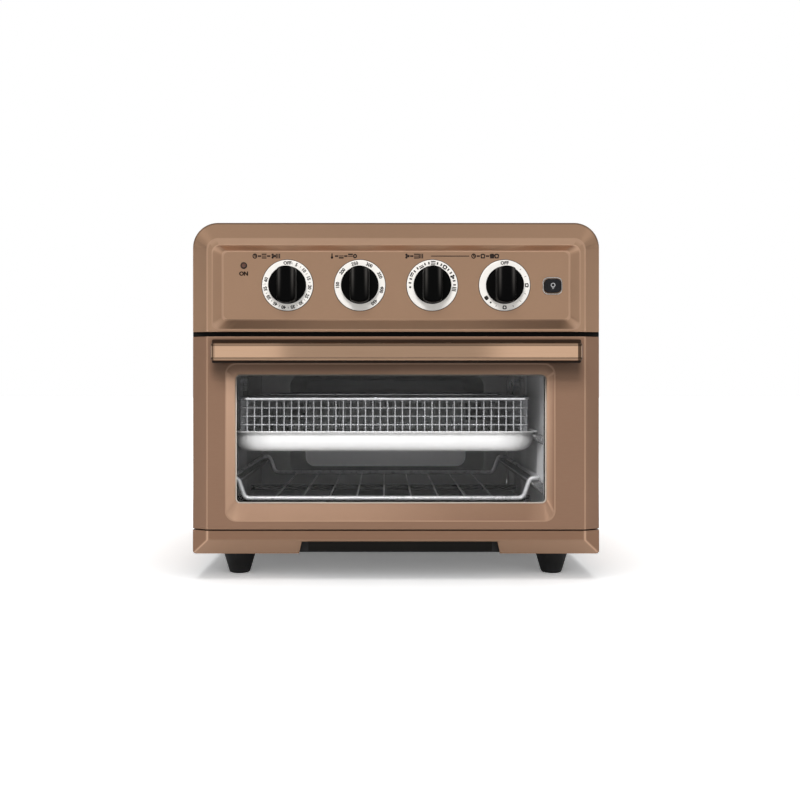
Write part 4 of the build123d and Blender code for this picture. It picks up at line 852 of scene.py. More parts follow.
# Bright rim round the button: satin chromed plastic.
CHROME_RIM = Finish(
    "satin_chromed_plastic", "e0dad4", "d0cac4", (0.6, 0.6, 0.6), 0.003, (0.18, 0.26), metallic=1.0,
    mottle=12.0,
)
# Nickel-chrome plated bar of the basket's rim: bright, with a slight waviness.
BRIGHT_WIRE = Finish(
    "plated_steel_wire", "d0d1d3", "bcbdc0", (3.0, 3.0, 3.0), 0.01, (0.16, 0.26), metallic=0.85, mottle=20.0,
)
# Plated wire of the rack, with a painted shade towards the front that the mesh holds.
RACK_WIRE = MapShaded(
    "plated_rack_wire", "f4f4f6", "e8e8ea", (3.0, 3.0, 3.0), 0.01, (0.24, 0.34), metallic=0.3, mottle=20.0,
)
# The same plating on the thin net of the basket, duller.
NET_WIRE = Finish(
    "plated_net_wire", "c8c9cb", "b8b9bc", (2.0, 2.0, 2.0), 0.006, (0.24, 0.34), metallic=0.25, mottle=12.0,
)
# Bright pressed steel of the baking pan: near white, softly brushed, with a painted shade towards its ends
# that the mesh holds.
PAN_STEEL = MapShaded(
    "bright_pressed_steel", "efefef", "e8e8e8", (12.0, 0.8, 0.8), 0.004, (0.3, 0.4), metallic=0.1,
    mottle=40.0,
)
# Black non-stick coating of the crumb tray, satin with a fine grain.
TRAY_COATING = Finish(
    "black_nonstick_tray", "12110f", "0d0c0a", (0.9, 0.9, 0.9), 0.02, (0.4, 0.52), mottle=35.0,
    specular=0.12,
)
# Sheathed heating rod: dull oxidised nickel alloy.
ELEMENT_SHEATH = Finish(
    "oxidised_heating_sheath", "1a1817", "131211", (2.5, 2.5, 2.5), 0.02, (0.5, 0.65), mottle=22.0,
    specular=0.1,
)
# Steatite insulator: chalky off-white.
STEATITE = Finish(
    "steatite_ceramic", "d9d2c2", "cbc3b2", (0.7, 0.7, 0.7), 0.02, (0.6, 0.75), mottle=9.0,
)
# Moulded black rubber of feet and gland: matt, fine grain.
RUBBER = Finish(
    "moulded_black_rubber", "1f1f20", "191919", (0.6, 0.6, 0.6), 0.03, (0.6, 0.75), mottle=16.0, sheen=0.1,
)
# Zinc-plated screws and pins: small cool glints.
ZINC_HARDWARE = Finish(
    "zinc_plated_hardware", "b9bab8", "a2a3a1", (0.9, 0.9, 0.9), 0.008, (0.26, 0.38), metallic=1.0,
    mottle=8.0,
)
# Moulded brown-black control bodies behind the panel, satin.
CONTROL_BODY = Finish(
    "moulded_control_housing", "2b2623", "211d1a", (0.6, 0.6, 0.6), 0.01, (0.42, 0.55), mottle=20.0,
)
# Rolled aluminium of fan and guard: bright grey, lined along the roll.
FAN_SHEET = Finish(
    "rolled_aluminium_sheet", "b3b4b6", "9d9ea1", (10.0, 0.8, 10.0), 0.01, (0.34, 0.46), metallic=1.0,
    mottle=30.0,
)
# Painted steel motor can, dark grey and satin.
MOTOR_CAN = Finish(
    "painted_motor_can", "3b3d40", "2f3133", (1.0, 1.0, 1.0), 0.02, (0.44, 0.58), mottle=24.0,
)
# Moulded black nylon of the cord cleats, satin.
NYLON_BLACK = Finish(
    "moulded_black_nylon", "202021", "181819", (0.5, 0.5, 0.5), 0.02, (0.4, 0.52), mottle=20.0,
)
# Amber-brown pilot lens, unlit, glossy.
PILOT_LENS = Finish(
    "moulded_pilot_lens", "4f2f22", "382016", (0.8, 0.8, 0.8), 0.003, (0.08, 0.14), mottle=3.0, coat=0.6,
)
# Fibreglass gasket round the glass: pale cream, with a painted shade along the top, below the handle.
GASKET = HeightShadePainted(
    "woven_glass_gasket", "b9b2a8", "a8a197", (1.2, 1.2, 1.2), 0.05, (0.7, 0.85), mottle=12.0,
    stops=((50.0, 1.0), (196.0, 1.0), (202.5, 0.46), (240.0, 0.46)),
)
# Oven glass: clear, faintly smeared.
OVEN_GLASS = ClearGlass(
    "clear_oven_glass", "ffffff", "f4f4f4", (1.0, 1.0, 1.0), 0.01, (0.0, 0.03), mottle=55.0, index=1.22,
)


class Slot(Enum):
    """Material slots of the record, each with the finish that dresses the CAD nodes in it."""

    FASCIA = ("fascia", COPPER_PANEL)
    CABINET = ("cabinet", COPPER_WRAP)
    BLACK_SHEET = ("black_sheet", BLACK_ENAMEL)
    CHASSIS = ("chassis", GALVANISED)
    CAVITY = ("cavity_coating", CAVITY_COATING)
    LINER = ("door_liner", DOOR_LINER)
    GLASS = ("glass", OVEN_GLASS)
    KNOB = ("knob", KNOB_BLACK)
    DIAL = ("dial", DIAL_ALUMINIUM)
    BUTTON = ("button", BUTTON_BLACK)
    BEZEL = ("bezel", CHROME_RIM)
    PILOT = ("pilot_lens", PILOT_LENS)
    ELEMENT = ("element", ELEMENT_SHEATH)
    CERAMIC = ("ceramic", STEATITE)
    WIRE = ("wire", BRIGHT_WIRE)
    PAN = ("pan", PAN_STEEL)
    TRAY = ("tray", TRAY_COATING)
    RUBBER = ("rubber", RUBBER)
    HARDWARE = ("hardware", ZINC_HARDWARE)
    CONTROL = ("control_body", CONTROL_BODY)
    FAN = ("fan_sheet", FAN_SHEET)
    MOTOR = ("motor", MOTOR_CAN)
    CLEAT = ("cleat", NYLON_BLACK)

    def __init__(self, label: str, finish: Finish) -> None:
        """Keeps the slot's name and its finish."""
        self.label = label
        self.finish = finish


def fit(
    piece: Piece,
    body: str,
    slot: Slot,
    replaced: Sequence[str] = (),
    finish: Finish | None = None,
) -> Piece:
    """Dresses a new piece and hands it to its body.

    Args:
        piece: The new object.
        body: Body of the model that it rides on.
        slot: Material slot that it takes its finish from.
        replaced: CAD nodes that it stands for.
        finish: Finish other than the slot's own.

    Returns:
        The piece.
    """
    piece.data.materials.clear()
    piece.data.materials.append((finish or slot.finish).material())
    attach(piece, body)
    if replaced:
        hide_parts(*replaced)
    LOG.info("%s rides on %s", piece.name, body)
    return piece


def walled(piece: Piece, sheet: float) -> Piece:
    """Gives an open shell the thickness of its sheet, behind its face.

    Args:
        piece: Open shell.
        sheet: Sheet thickness.

    Returns:
        The piece.
    """
    wall = piece.modifiers.new("sheet", "SOLIDIFY")
    wall.thickness = sheet * MM
    wall.offset = -1.0
    return piece


def thickened(piece: Piece, sheet: float) -> Piece:
    """Gives an open shell its thickness, and evens the shading of its flats."""
    walled(piece, sheet).modifiers.new("even_flats", "WEIGHTED_NORMAL").keep_sharp = True
    return piece


# Plain print


def letters(text: str, height: float) -> Flat:
    """Outlines plain figures with Blender's own typeface.

    Args:
        text: Figures or a short plain word.
        height: Height of a capital.

    Returns:
        Flat points centred on nought, and faces.
    """
    curve = bpy.data.curves.new("figures", "FONT")
    curve.body = text
    curve.size = height / CAPITAL_SHARE
    curve.align_x = "CENTER"
    curve.align_y = "CENTER"
    curve.resolution_u = 3
    curve.offset = 0.06 * height
    holder = bpy.data.objects.new("figures", curve)
    mesh = holder.to_mesh()
    points = np.empty(len(mesh.vertices) * 3)
    mesh.vertices.foreach_get("co", points)
    faces = [list(face.vertices) for face in mesh.polygons]
    holder.to_mesh_clear()
    bpy.data.objects.remove(holder)
    bpy.data.curves.remove(curve)
    return points.reshape(-1, 3)[:, :2], faces


def bar(left: float, low: float, right: float, high: float) -> Flat:
    """Gives a flat bar by its corners."""
    return np.array([(left, low), (right, low), (right, high), (left, high)]), [[0, 1, 2, 3]]


def band(outer: Array, inner: Array) -> Flat:
    """Gives the flat band between two closed outlines of as many points each."""
    return np.vstack([outer, inner]), grid_faces(2, len(outer), True).tolist()


def circle(radius: float, x: float = 0.0, z: float = 0.0, points: int = 20) -> Array:
    """Gives the points of a circle about a middle."""
    angle = np.linspace(0.0, 2 * np.pi, points, endpoint=False)
    return np.column_stack([x + radius * np.cos(angle), z + radius * np.sin(angle)])


def disc(radius: float, x: float = 0.0, z: float = 0.0) -> Flat:
    """Gives a flat disc."""
    return circle(radius, x, z, 16), [list(range(16))]


def blades() -> list[Flat]:
    """Gives three round fan blades and a hub."""
    middles = circle(0.29, points=3)
    return [disc(0.24, *middle) for middle in middles] + [disc(0.12)]


def slice_outline(size: float) -> Array:
    """Gives the outline of a slice of bread: a square with a domed top, part of an ellipse.

    Args:
        size: Its height and width.

    Returns:
        Fifteen points.
    """
    angle = np.radians(np.linspace(-20.0, 200.0, 13))
    top = np.column_stack([0.52 * np.cos(angle), 0.16 + 0.3 * np.sin(angle)])
    return size * np.vstack([[(0.4, -0.45)], top, [(-0.4, -0.45)]])


# Each mark fills about one unit and is made of flat shapes: left, low, right and high of a bar, or a radius.
MARKS = {
    "dot": lambda: [disc(0.22)],
    "dash": lambda: [bar(-0.34, -0.15, 0.34, 0.15)],
    "ring": lambda: [band(circle(0.42), circle(0.16))],
    "upper": lambda: [bar(-0.5, 0.2, 0.5, 0.46), bar(-0.5, -0.1, 0.5, 0.06)],
    "lower": lambda: [bar(-0.5, -0.46, 0.5, -0.2), bar(-0.5, -0.06, 0.5, 0.1)],
    "both": lambda: [bar(-0.5, 0.24, 0.5, 0.46), bar(-0.5, -0.46, 0.5, -0.24), bar(-0.5, -0.09, 0.5, 0.09)],
    "fan": blades,
    "waves": lambda: [bar(x - 0.11, -0.45, x + 0.11, 0.45) for x in (-0.34, 0.0, 0.34)],
    "clock": lambda: [
        band(circle(0.5), circle(0.28)), bar(-0.1, -0.04, 0.1, 0.34), bar(-0.1, -0.1, 0.3, 0.1)
    ],
    "thermometer": lambda: [disc(0.26, 0.0, -0.26), bar(-0.13, -0.2, 0.13, 0.5)],
    "toast": lambda: [band(slice_outline(1.0), slice_outline(0.46))],
    "dark_toast": lambda: [(slice_outline(1.0), [list(range(15))])],
    "lamp": lambda: [
        band(circle(0.42, 0.0, 0.1), circle(0.28, 0.0, 0.1)), bar(-0.2, -0.46, 0.2, -0.38),
        bar(-0.14, -0.6, 0.14, -0.52),
    ],
}


class Print:
    """Flat print on a plane that faces the front."""

    def __init__(self, depth: float) -> None:
        """Starts an empty sheet.

        Args:
            depth: Depth of the plane.
        """
        self.shell = Shell()
        self.y = FRONT_Y + depth

    def flat(
        self, middle: Pair, points: Array, faces: list[list[int]], turn: float = 0.0
    ) -> None:
        """Prints a flat shape.

        Args:
            middle: Place across and up.
            points: Flat points of the shape.
            faces: Its faces.
            turn: Clockwise turn in degrees.
        """
        angle = math.radians(turn)
        right = np.array([math.cos(angle), -math.sin(angle)])
        up = np.array([math.sin(angle), math.cos(angle)])
        spot = np.array(middle) + points[:, :1] * right + points[:, 1:] * up
        placed = np.column_stack([spot[:, 0], np.full(len(spot), self.y), spot[:, 1]])
        self.shell.add(placed, faces, TO_FRONT)

    def round(
        self, middle: Pair, radius: float, turn: float, points: Array, faces: list[list[int]]
    ) -> None:
        """Prints a flat shape on a circle, its top outwards.

        Args:
            middle: Middle of the circle.
            radius: Its radius.
            turn: Clockwise place on it from the top, in degrees.
            points: Flat points of the shape.
            faces: Its faces.
        """
        angle = math.radians(turn)
        spot = (middle[0] + radius * math.sin(angle), middle[1] + radius * math.cos(angle))
        self.flat(spot, points, faces, turn)


# Sub-assemblies


@dataclass
class ControlPanel:
    """Bevelled fascia with a sunk field, four dials and knobs, a lamp and a button."""

    half: float = 203.0
    low: float = 246.2
    high: float = 355.5
    corner: float = 25.0
    bevel: Pair = (15.7, 8.0)
    top_lean: float = 1.8
    ridge_corner: float = 11.0
    field_half: Pair = (182.4, 173.2)
    field_low: Pair = (248.5, 258.3)
    field_high: Pair = (332.2, 327.2)
    field_corner: Pair = (8.0, 5.0)
    field_depth: float = 7.0
    back: float = 16.0
    sheet: float = 1.2
    knob_z: float = 292.9
    knobs: tuple[tuple[str, float], ...] = (
        ("oven_timer", -108.3), ("temperature", -36.1), ("function", 36.1), ("toast_timer", 108.3)
    )
    dial_face: float = 6.1
    figure_ring: float = 22.1
    tick_ring: float = 22.3
    legend_z: float = 322.1
    lamp_middle: Pair = (-152.0, 312.6)
    lamp_word_z: float = 304.4
    button_middle: Pair = (156.2, 292.3)

    def fascia(self) -> Piece:
        """Presses the fascia: rings step from the rear edge over the bevel and the ridge into the field.

        Returns:
            The fascia.
        """
        width, depth = self.bevel
        ridge = self.half - width
        outer = (-self.half, self.half, self.low, self.high, SMALL_CORNER, self.corner)
        top = self.high - width - self.top_lean
        ridge_row = (-ridge, ridge, self.low, top, SMALL_CORNER, self.ridge_corner, 0.0)
        held = 2.0
        near = np.array((*outer, depth)) * (1 - held / width) + np.array(ridge_row) * held / width
        rows = [(*outer, self.back), (*outer, depth), near, ridge_row]
        for step, inset, back in ((0, 0.0, 0.0), (1, 0.0, self.field_depth), (1, 3.0, self.field_depth)):
            half, corner = self.field_half[step] - inset, self.field_corner[step]
            low, high = self.field_low[step] + inset, self.field_high[step] - inset
            rows.append((-half, half, low, high, corner, corner, back))
        cuts = (0, 0.8, 0, 1.2, 0.8, 1.0, 0)
        rings = framed_rings(softened(np.array(rows), cuts), arc=14)
        shell = Shell().rings(rings, TO_FRONT, (False, True), self.fascia_marks(rings, bend_marks(cuts)))
        return thickened(shell.object("fascia_pressing"), self.sheet)

    def fascia_marks(self, rings: Array, bent: Array) -> Array:
        """Marks the fascia's painted highlights, and below nought its painted shade.

        Bends, the ridge above the field and the field's upper slope get a painted highlight. The field's
        lower corners get the brightest, by the exponential of the distance's fourth power. The lower slope
        gets a painted shade that deepens from its middle towards its ends. The outer bevel's sides and the
        rim behind it get a painted shade.

        Args:
            rings: Points of the fascia.
            bent: One for each ring inside a bend, and nought for the others.

        Returns:
            One mark for each point.
        """
        x, y, z = rings.reshape(-1, 3).T
        across, depths = np.abs(x), y - FRONT_Y
        bright, brightest, side, rim_side, rim_top = 1.5, 2.2, -0.2, -0.35, -0.6
        corner_x, corner_z, spread = 177.6, 253.6, 4.4
        rounding = self.high - self.corner
        gleam = brightest * np.exp(-((np.hypot(across - corner_x, z - corner_z) / spread) ** 4))
        marks = np.maximum(bright * np.repeat(bent, rings.shape[1]), gleam)
        upper_slope = (depths > 0.5) & (z > self.field_high[1]) & (z < 333.0) & (across < 183.0)
        top_ridge = (depths < 0.3) & (z > self.field_high[0] + 0.5)
        marks = np.maximum(marks, bright * (upper_slope | top_ridge))
        low_slope = (depths > 0.5) & (depths < self.field_depth + 0.1) & (z < self.field_low[1] + 0.8)
        shade = np.interp(across, (60.0, 130.0, 166.0, 171.0), (0.04, 0.38, 0.5, 0.0))
        marks = np.where(low_slope & (across < 171.0), np.minimum(marks, 0.0) - shade, marks)
        on_side = (across > self.half - self.bevel[0] + 0.6) & (depths > 0.5) & (z < rounding)
        marks = np.where(on_side, side, marks)
        beyond_x, beyond_z = across - self.half + self.corner, z - rounding
        rounded = np.hypot(beyond_x, beyond_z) - self.corner
        straight = np.maximum(across - self.half, z - self.high)
        rim = np.where((beyond_x > 0.0) & (beyond_z > 0.0), rounded, straight)
        return np.where((rim > -1.2) & (depths > 6.0), np.where(z < rounding, rim_side, rim_top), marks)

    def round_dials(self, name: str, profile: Array) -> Piece:
        """Turns the same closed profile about the middle of each dial.

        Args:
            name: Name of the piece.
            profile: Rows of radius and depth.

        Returns:
            The piece.
        """
        shell = Shell()
        for _, x in self.knobs:
            shell.rings(turned(profile, (x, FRONT_Y, self.knob_z), "y", 96), looped=True)
        return shell.object(name)

    def dials(self) -> Piece:
        """Turns the four dial plates: flat discs with a softly rounded edge.

        Returns:
            The plates.
        """
        return self.round_dials("dial_discs", np.array([
            (25.4, 6.98), (25.4, 6.5), (25.25, 6.3), (25.0, 6.2), (24.6, 6.16), (17.0, 6.16), (5.0, 6.16),
            (4.1, 6.3), (4.1, 6.98),
        ]))

    def dial_outlines(self) -> Piece:
        """Turns the thin dark joint round each dial plate."""
        profile = np.array([(25.3, 6.99), (25.3, 6.6), (25.6, 6.5), (25.95, 6.6), (25.95, 6.99)])
        return self.round_dials("dial_joints", profile)

    def dial_print(self) -> Piece:
        """Prints the dials: minutes, degrees, modes and shades, with ticks between the figures.

        Returns:
            The print.
        """
        sheet = Print(self.dial_face)
        minutes, degrees, modes, shades = [(x, self.knob_z) for _, x in self.knobs]
        ring, ticks = self.figure_ring, self.tick_ring
        tick, block = bar(-0.22, -0.9, 0.22, 0.9), bar(-0.7, -1.3, 0.7, 1.3)
        figure, mode_size, shade_size = 3.2, 4.6, 4.2
        for step in range(1, 13):
            turn = step * 23.75
            sheet.round(minutes, ring, turn, *letters(str(step * 5), figure))
            sheet.round(minutes, ticks, turn - 11.9, *tick)
        for step in range(7):
            sheet.round(degrees, ring, -90.0 + step * 230.0 / 6, *letters(str(150 + 50 * step), figure))
        for step, mark in enumerate(("dot", "upper", "lower", "both", "toast", "fan", "waves")):
            turn = -95.0 + 32.5 * step
            for points, faces in MARKS[mark]():
                sheet.round(modes, ring, turn, points * mode_size, faces)
            for beside in (-5.2, 5.2) if mark != "waves" else ():
                sheet.round(modes, ticks, turn + 16.3 + beside, *block)
        for turn, mark in ((90.0, "toast"), (180.0, "toast"), (219.0, "dot"), (235.0, "dark_toast")):
            for points, faces in MARKS[mark]():
                sheet.round(shades, ring, turn, points * shade_size, faces)
        for turn in (45.0, 67.5, 112.5, 135.0, 157.5, 202.5):
            sheet.round(shades, ticks, turn, *tick)
        for middle in (minutes, shades):
            sheet.round(middle, ring, 0.0, *letters("OFF", 3.3))
        return sheet.shell.object("dial_print")

    def legends(self) -> Piece:
        """Prints a row of plain pictograms above each dial, the line that joins the last two rows, and "ON".

        Returns:
            The print.
        """
        sheet = Print(self.field_depth - 0.05)
        rows = (
            (-129.4, ("clock", "dash", "both", "dash", "fan", "waves")),
            (-52.4, ("thermometer", "dash", "lower", "dash", "upper", "ring")),
            (18.0, ("fan", "dash", "both", "waves")),
            (89.0, ("clock", "dash", "toast", "dash", "dark_toast", "toast")),
        )
        pitch, size = 4.6, np.array([4.8, 5.3])
        for middle, marks in rows:
            for place, mark in enumerate(marks):
                x = middle + (place - (len(marks) - 1) / 2) * pitch
                for points, faces in MARKS[mark]():
                    sheet.flat((x, self.legend_z), points * size, faces)
        sheet.flat((54.0, self.legend_z), *bar(-19.0, -0.45, 19.0, 0.45))
        # The word is printed twice, a little apart, which makes its strokes bolder.
        for aside in (0.0, -0.15):
            sheet.flat((self.lamp_middle[0] + aside, self.lamp_word_z), *letters("ON", 4.0))
        return sheet.shell.object("panel_legends")

    def lamp_ring(self) -> Piece:
        """Turns the dark seat round the power lamp.

        Returns:
            The seat.
        """
        x, z = self.lamp_middle
        profile = np.array([(2.35, 6.98), (2.35, 6.5), (2.7, 6.35), (3.3, 6.5), (3.4, 6.98)])
        return Shell().rings(turned(profile, (x, FRONT_Y, z), "y", 40), looped=True).object("lamp_seat")

    def lamp_lens(self) -> Piece:
        """Turns the power lamp's domed lens: a quarter ellipse in section.

        Returns:
            The lens.
        """
        x, z = self.lamp_middle
        radius, base, crown = 2.3, 6.5, 0.9
        turn = np.radians(np.linspace(0.0, 88.0, 9))
        dome = np.column_stack([radius * np.cos(turn), base - crown * np.sin(turn)])
        profile = np.vstack([[(radius, 7.2)], dome])
        return Shell().rings(turned(profile, (x, FRONT_Y, z), "y", 40)).object("power_lens")

    def oblong(self, wide: float, tall: float, steps: Sequence[Vector3]) -> Array:
        """Rings of a rounded oblong about the button's middle.

        Args:
            wide: Half of its width.
            tall: Half of its height.
            steps: Inset, depth and corner radius of each ring.

        Returns:
            Places as ring, point and axis.
        """
        x, z = self.button_middle
        rows = [(x - wide + a, x + wide - a, z - tall + a, z + tall - a, r, r, d) for a, d, r in steps]
        return framed_rings(np.array(rows), arc=10, side=4)

    def bezel(self) -> Piece:
        """Moulds the thin rim round the light button: a rounded oblong ring with a soft edge.

        Returns:
            The rim.
        """
        rings = self.oblong(10.0, 8.9, (
            (0.0, 6.98, 5.5), (0.0, 6.2, 5.5), (0.25, 5.8, 5.3), (0.6, 5.62, 5.0), (1.0, 5.62, 4.7),
            (1.35, 5.8, 4.4), (1.5, 6.98, 4.3),
        ))
        return Shell().rings(rings, looped=True).object("button_rim")

    def button(self) -> Piece:
        """Moulds the light button: a rounded oblong cap with a soft edge and a shallow crown.

        Returns:
            The cap.
        """
        rings = self.oblong(8.4, 6.9, (
            (0.0, 12.0, 4.6), (0.0, 4.6, 4.6), (0.15, 4.1, 4.45), (0.5, 3.75, 4.1), (1.1, 3.62, 3.5),
            (3.0, 3.6, 1.6), (5.6, 3.6, 0.4),
        ))
        return Shell().rings(rings).object("light_button_cap")

    def button_mark(self) -> Piece:
        """Prints a plain lamp on the button.

        Returns:
            The print.
        """
        sheet = Print(3.55)
        for points, faces in MARKS["lamp"]():
            sheet.flat(self.button_middle, points * 5.4, faces)
        return sheet.shell.object("button_mark")

    def knob(self, name: str, x: float) -> Piece:
        """Builds one knob: a turned skirt and a grip bar.

        The grip's outline at each height is where a circle and an upright band overlap: the smaller distance
        from the middle wins, with a smooth crossing by a power mean. Its front crowns a little from top to
        bottom, and two lines along it get a painted highlight, each a bell curve across.

        Args:
            name: First words of the knob's body.
            x: Place along X.

        Returns:
            The knob.
        """
        skirt = np.array([
            (4.2, 5.6), (18.2, 5.6), (18.75, 5.1), (18.75, 1.3), (18.6, 0.6), (18.2, 0.15), (17.6, 0.0),
            (12.0, 0.0), (3.0, 0.0),
        ])
        shell = Shell().rings(turned(skirt, (x, FRONT_Y, self.knob_z), "y", 96))
        height = np.array([-0.6, 0.0, 6.0, 10.6, 11.6, 12.3, 12.75, 12.95, 13.0] + [13.0] * 7)[:, None]
        inset = np.array([0.0, 0.0, 0.25, 0.45, 0.55, 0.8, 1.3, 1.9, 2.6] + [2.6] * 7)[:, None]
        shrink = np.array([1.0] * 9 + [0.9, 0.8, 0.7, 0.6, 0.45, 0.25, 0.03])[:, None]
        radius, half = (18.35 - inset) * shrink, (9.75 - inset) * shrink
        angle = np.linspace(0.0, 2 * np.pi, 96, endpoint=False)[None]
        power, front_from = 14.0, 10.0
        upright = half / np.maximum(np.abs(np.cos(angle)), 1e-6)
        reach = (radius**-power + upright**-power) ** (-1.0 / power)
        across, up = reach * np.cos(angle), reach * np.sin(angle)
        on_front = height > front_from
        crown = np.where(on_front, 0.9 * (up / 18.0) ** 2, 0.0)
        grip = np.stack([across + x, crown - height + FRONT_Y, up + self.knob_z], -1)
        # Painted highlight along both edges of the grip's front, fading towards the bottom.
        grip_highlight = np.exp(-(((np.abs(across) - 6.6) / 1.2) ** 2)) * on_front
        grip_highlight *= np.clip((up + 14.0) / 22.0, 0.0, 1.0)
        return shell.rings(grip, painted_marks=grip_highlight).object(f"{name}_grip_knob")

    def joint_shade_strip(self) -> Piece:
        """Folds a black strip in the joint between panel and door, a dark sheet that paints the shade in that
        gap.

        Returns:
            The strip.
        """
        rows = np.array([
            (-202.9, 202.9, 241.6, 246.1, 0.3, 0.3, 15.9), (-202.9, 202.9, 241.6, 246.1, 0.3, 0.3, 8.6),
            (-202.7, 202.7, 241.9, 245.8, 0.3, 0.3, 8.3),
        ])
        return Shell().rings(framed_rings(rows, arc=3, side=3)).object("panel_joint_shade_strip")

    def build(self) -> None:
        """Builds and dresses the panel's pieces."""
        fit(self.joint_shade_strip(), "cabinet", Slot.BLACK_SHEET, finish=TRAY_COATING)
        fit(self.fascia(), "cabinet", Slot.FASCIA, ["control_panel"])
        fit(self.dials(), "cabinet", Slot.DIAL, ["dial_plates"])
        fit(self.dial_outlines(), "cabinet", Slot.DIAL, finish=SCREEN_INK)
        fit(self.dial_print(), "cabinet", Slot.DIAL, finish=SCREEN_INK)
        fit(self.legends(), "cabinet", Slot.DIAL, finish=LEGEND_INK)
        fit(self.lamp_ring(), "cabinet", Slot.DIAL, finish=SCREEN_INK)
        fit(self.lamp_lens(), "cabinet", Slot.PILOT, ["power_lamp"])
        fit(self.bezel(), "cabinet", Slot.BEZEL, ["light_button_bezel"])
        fit(self.button(), "light_button", Slot.BUTTON, ["light_button"])
        fit(self.button_mark(), "light_button", Slot.BUTTON, finish=PALE_INK)
        for name, x in self.knobs:
            fit(self.knob(name, x), f"{name}_knob", Slot.KNOB, [f"{name}_knob"]).visible_glossy = False


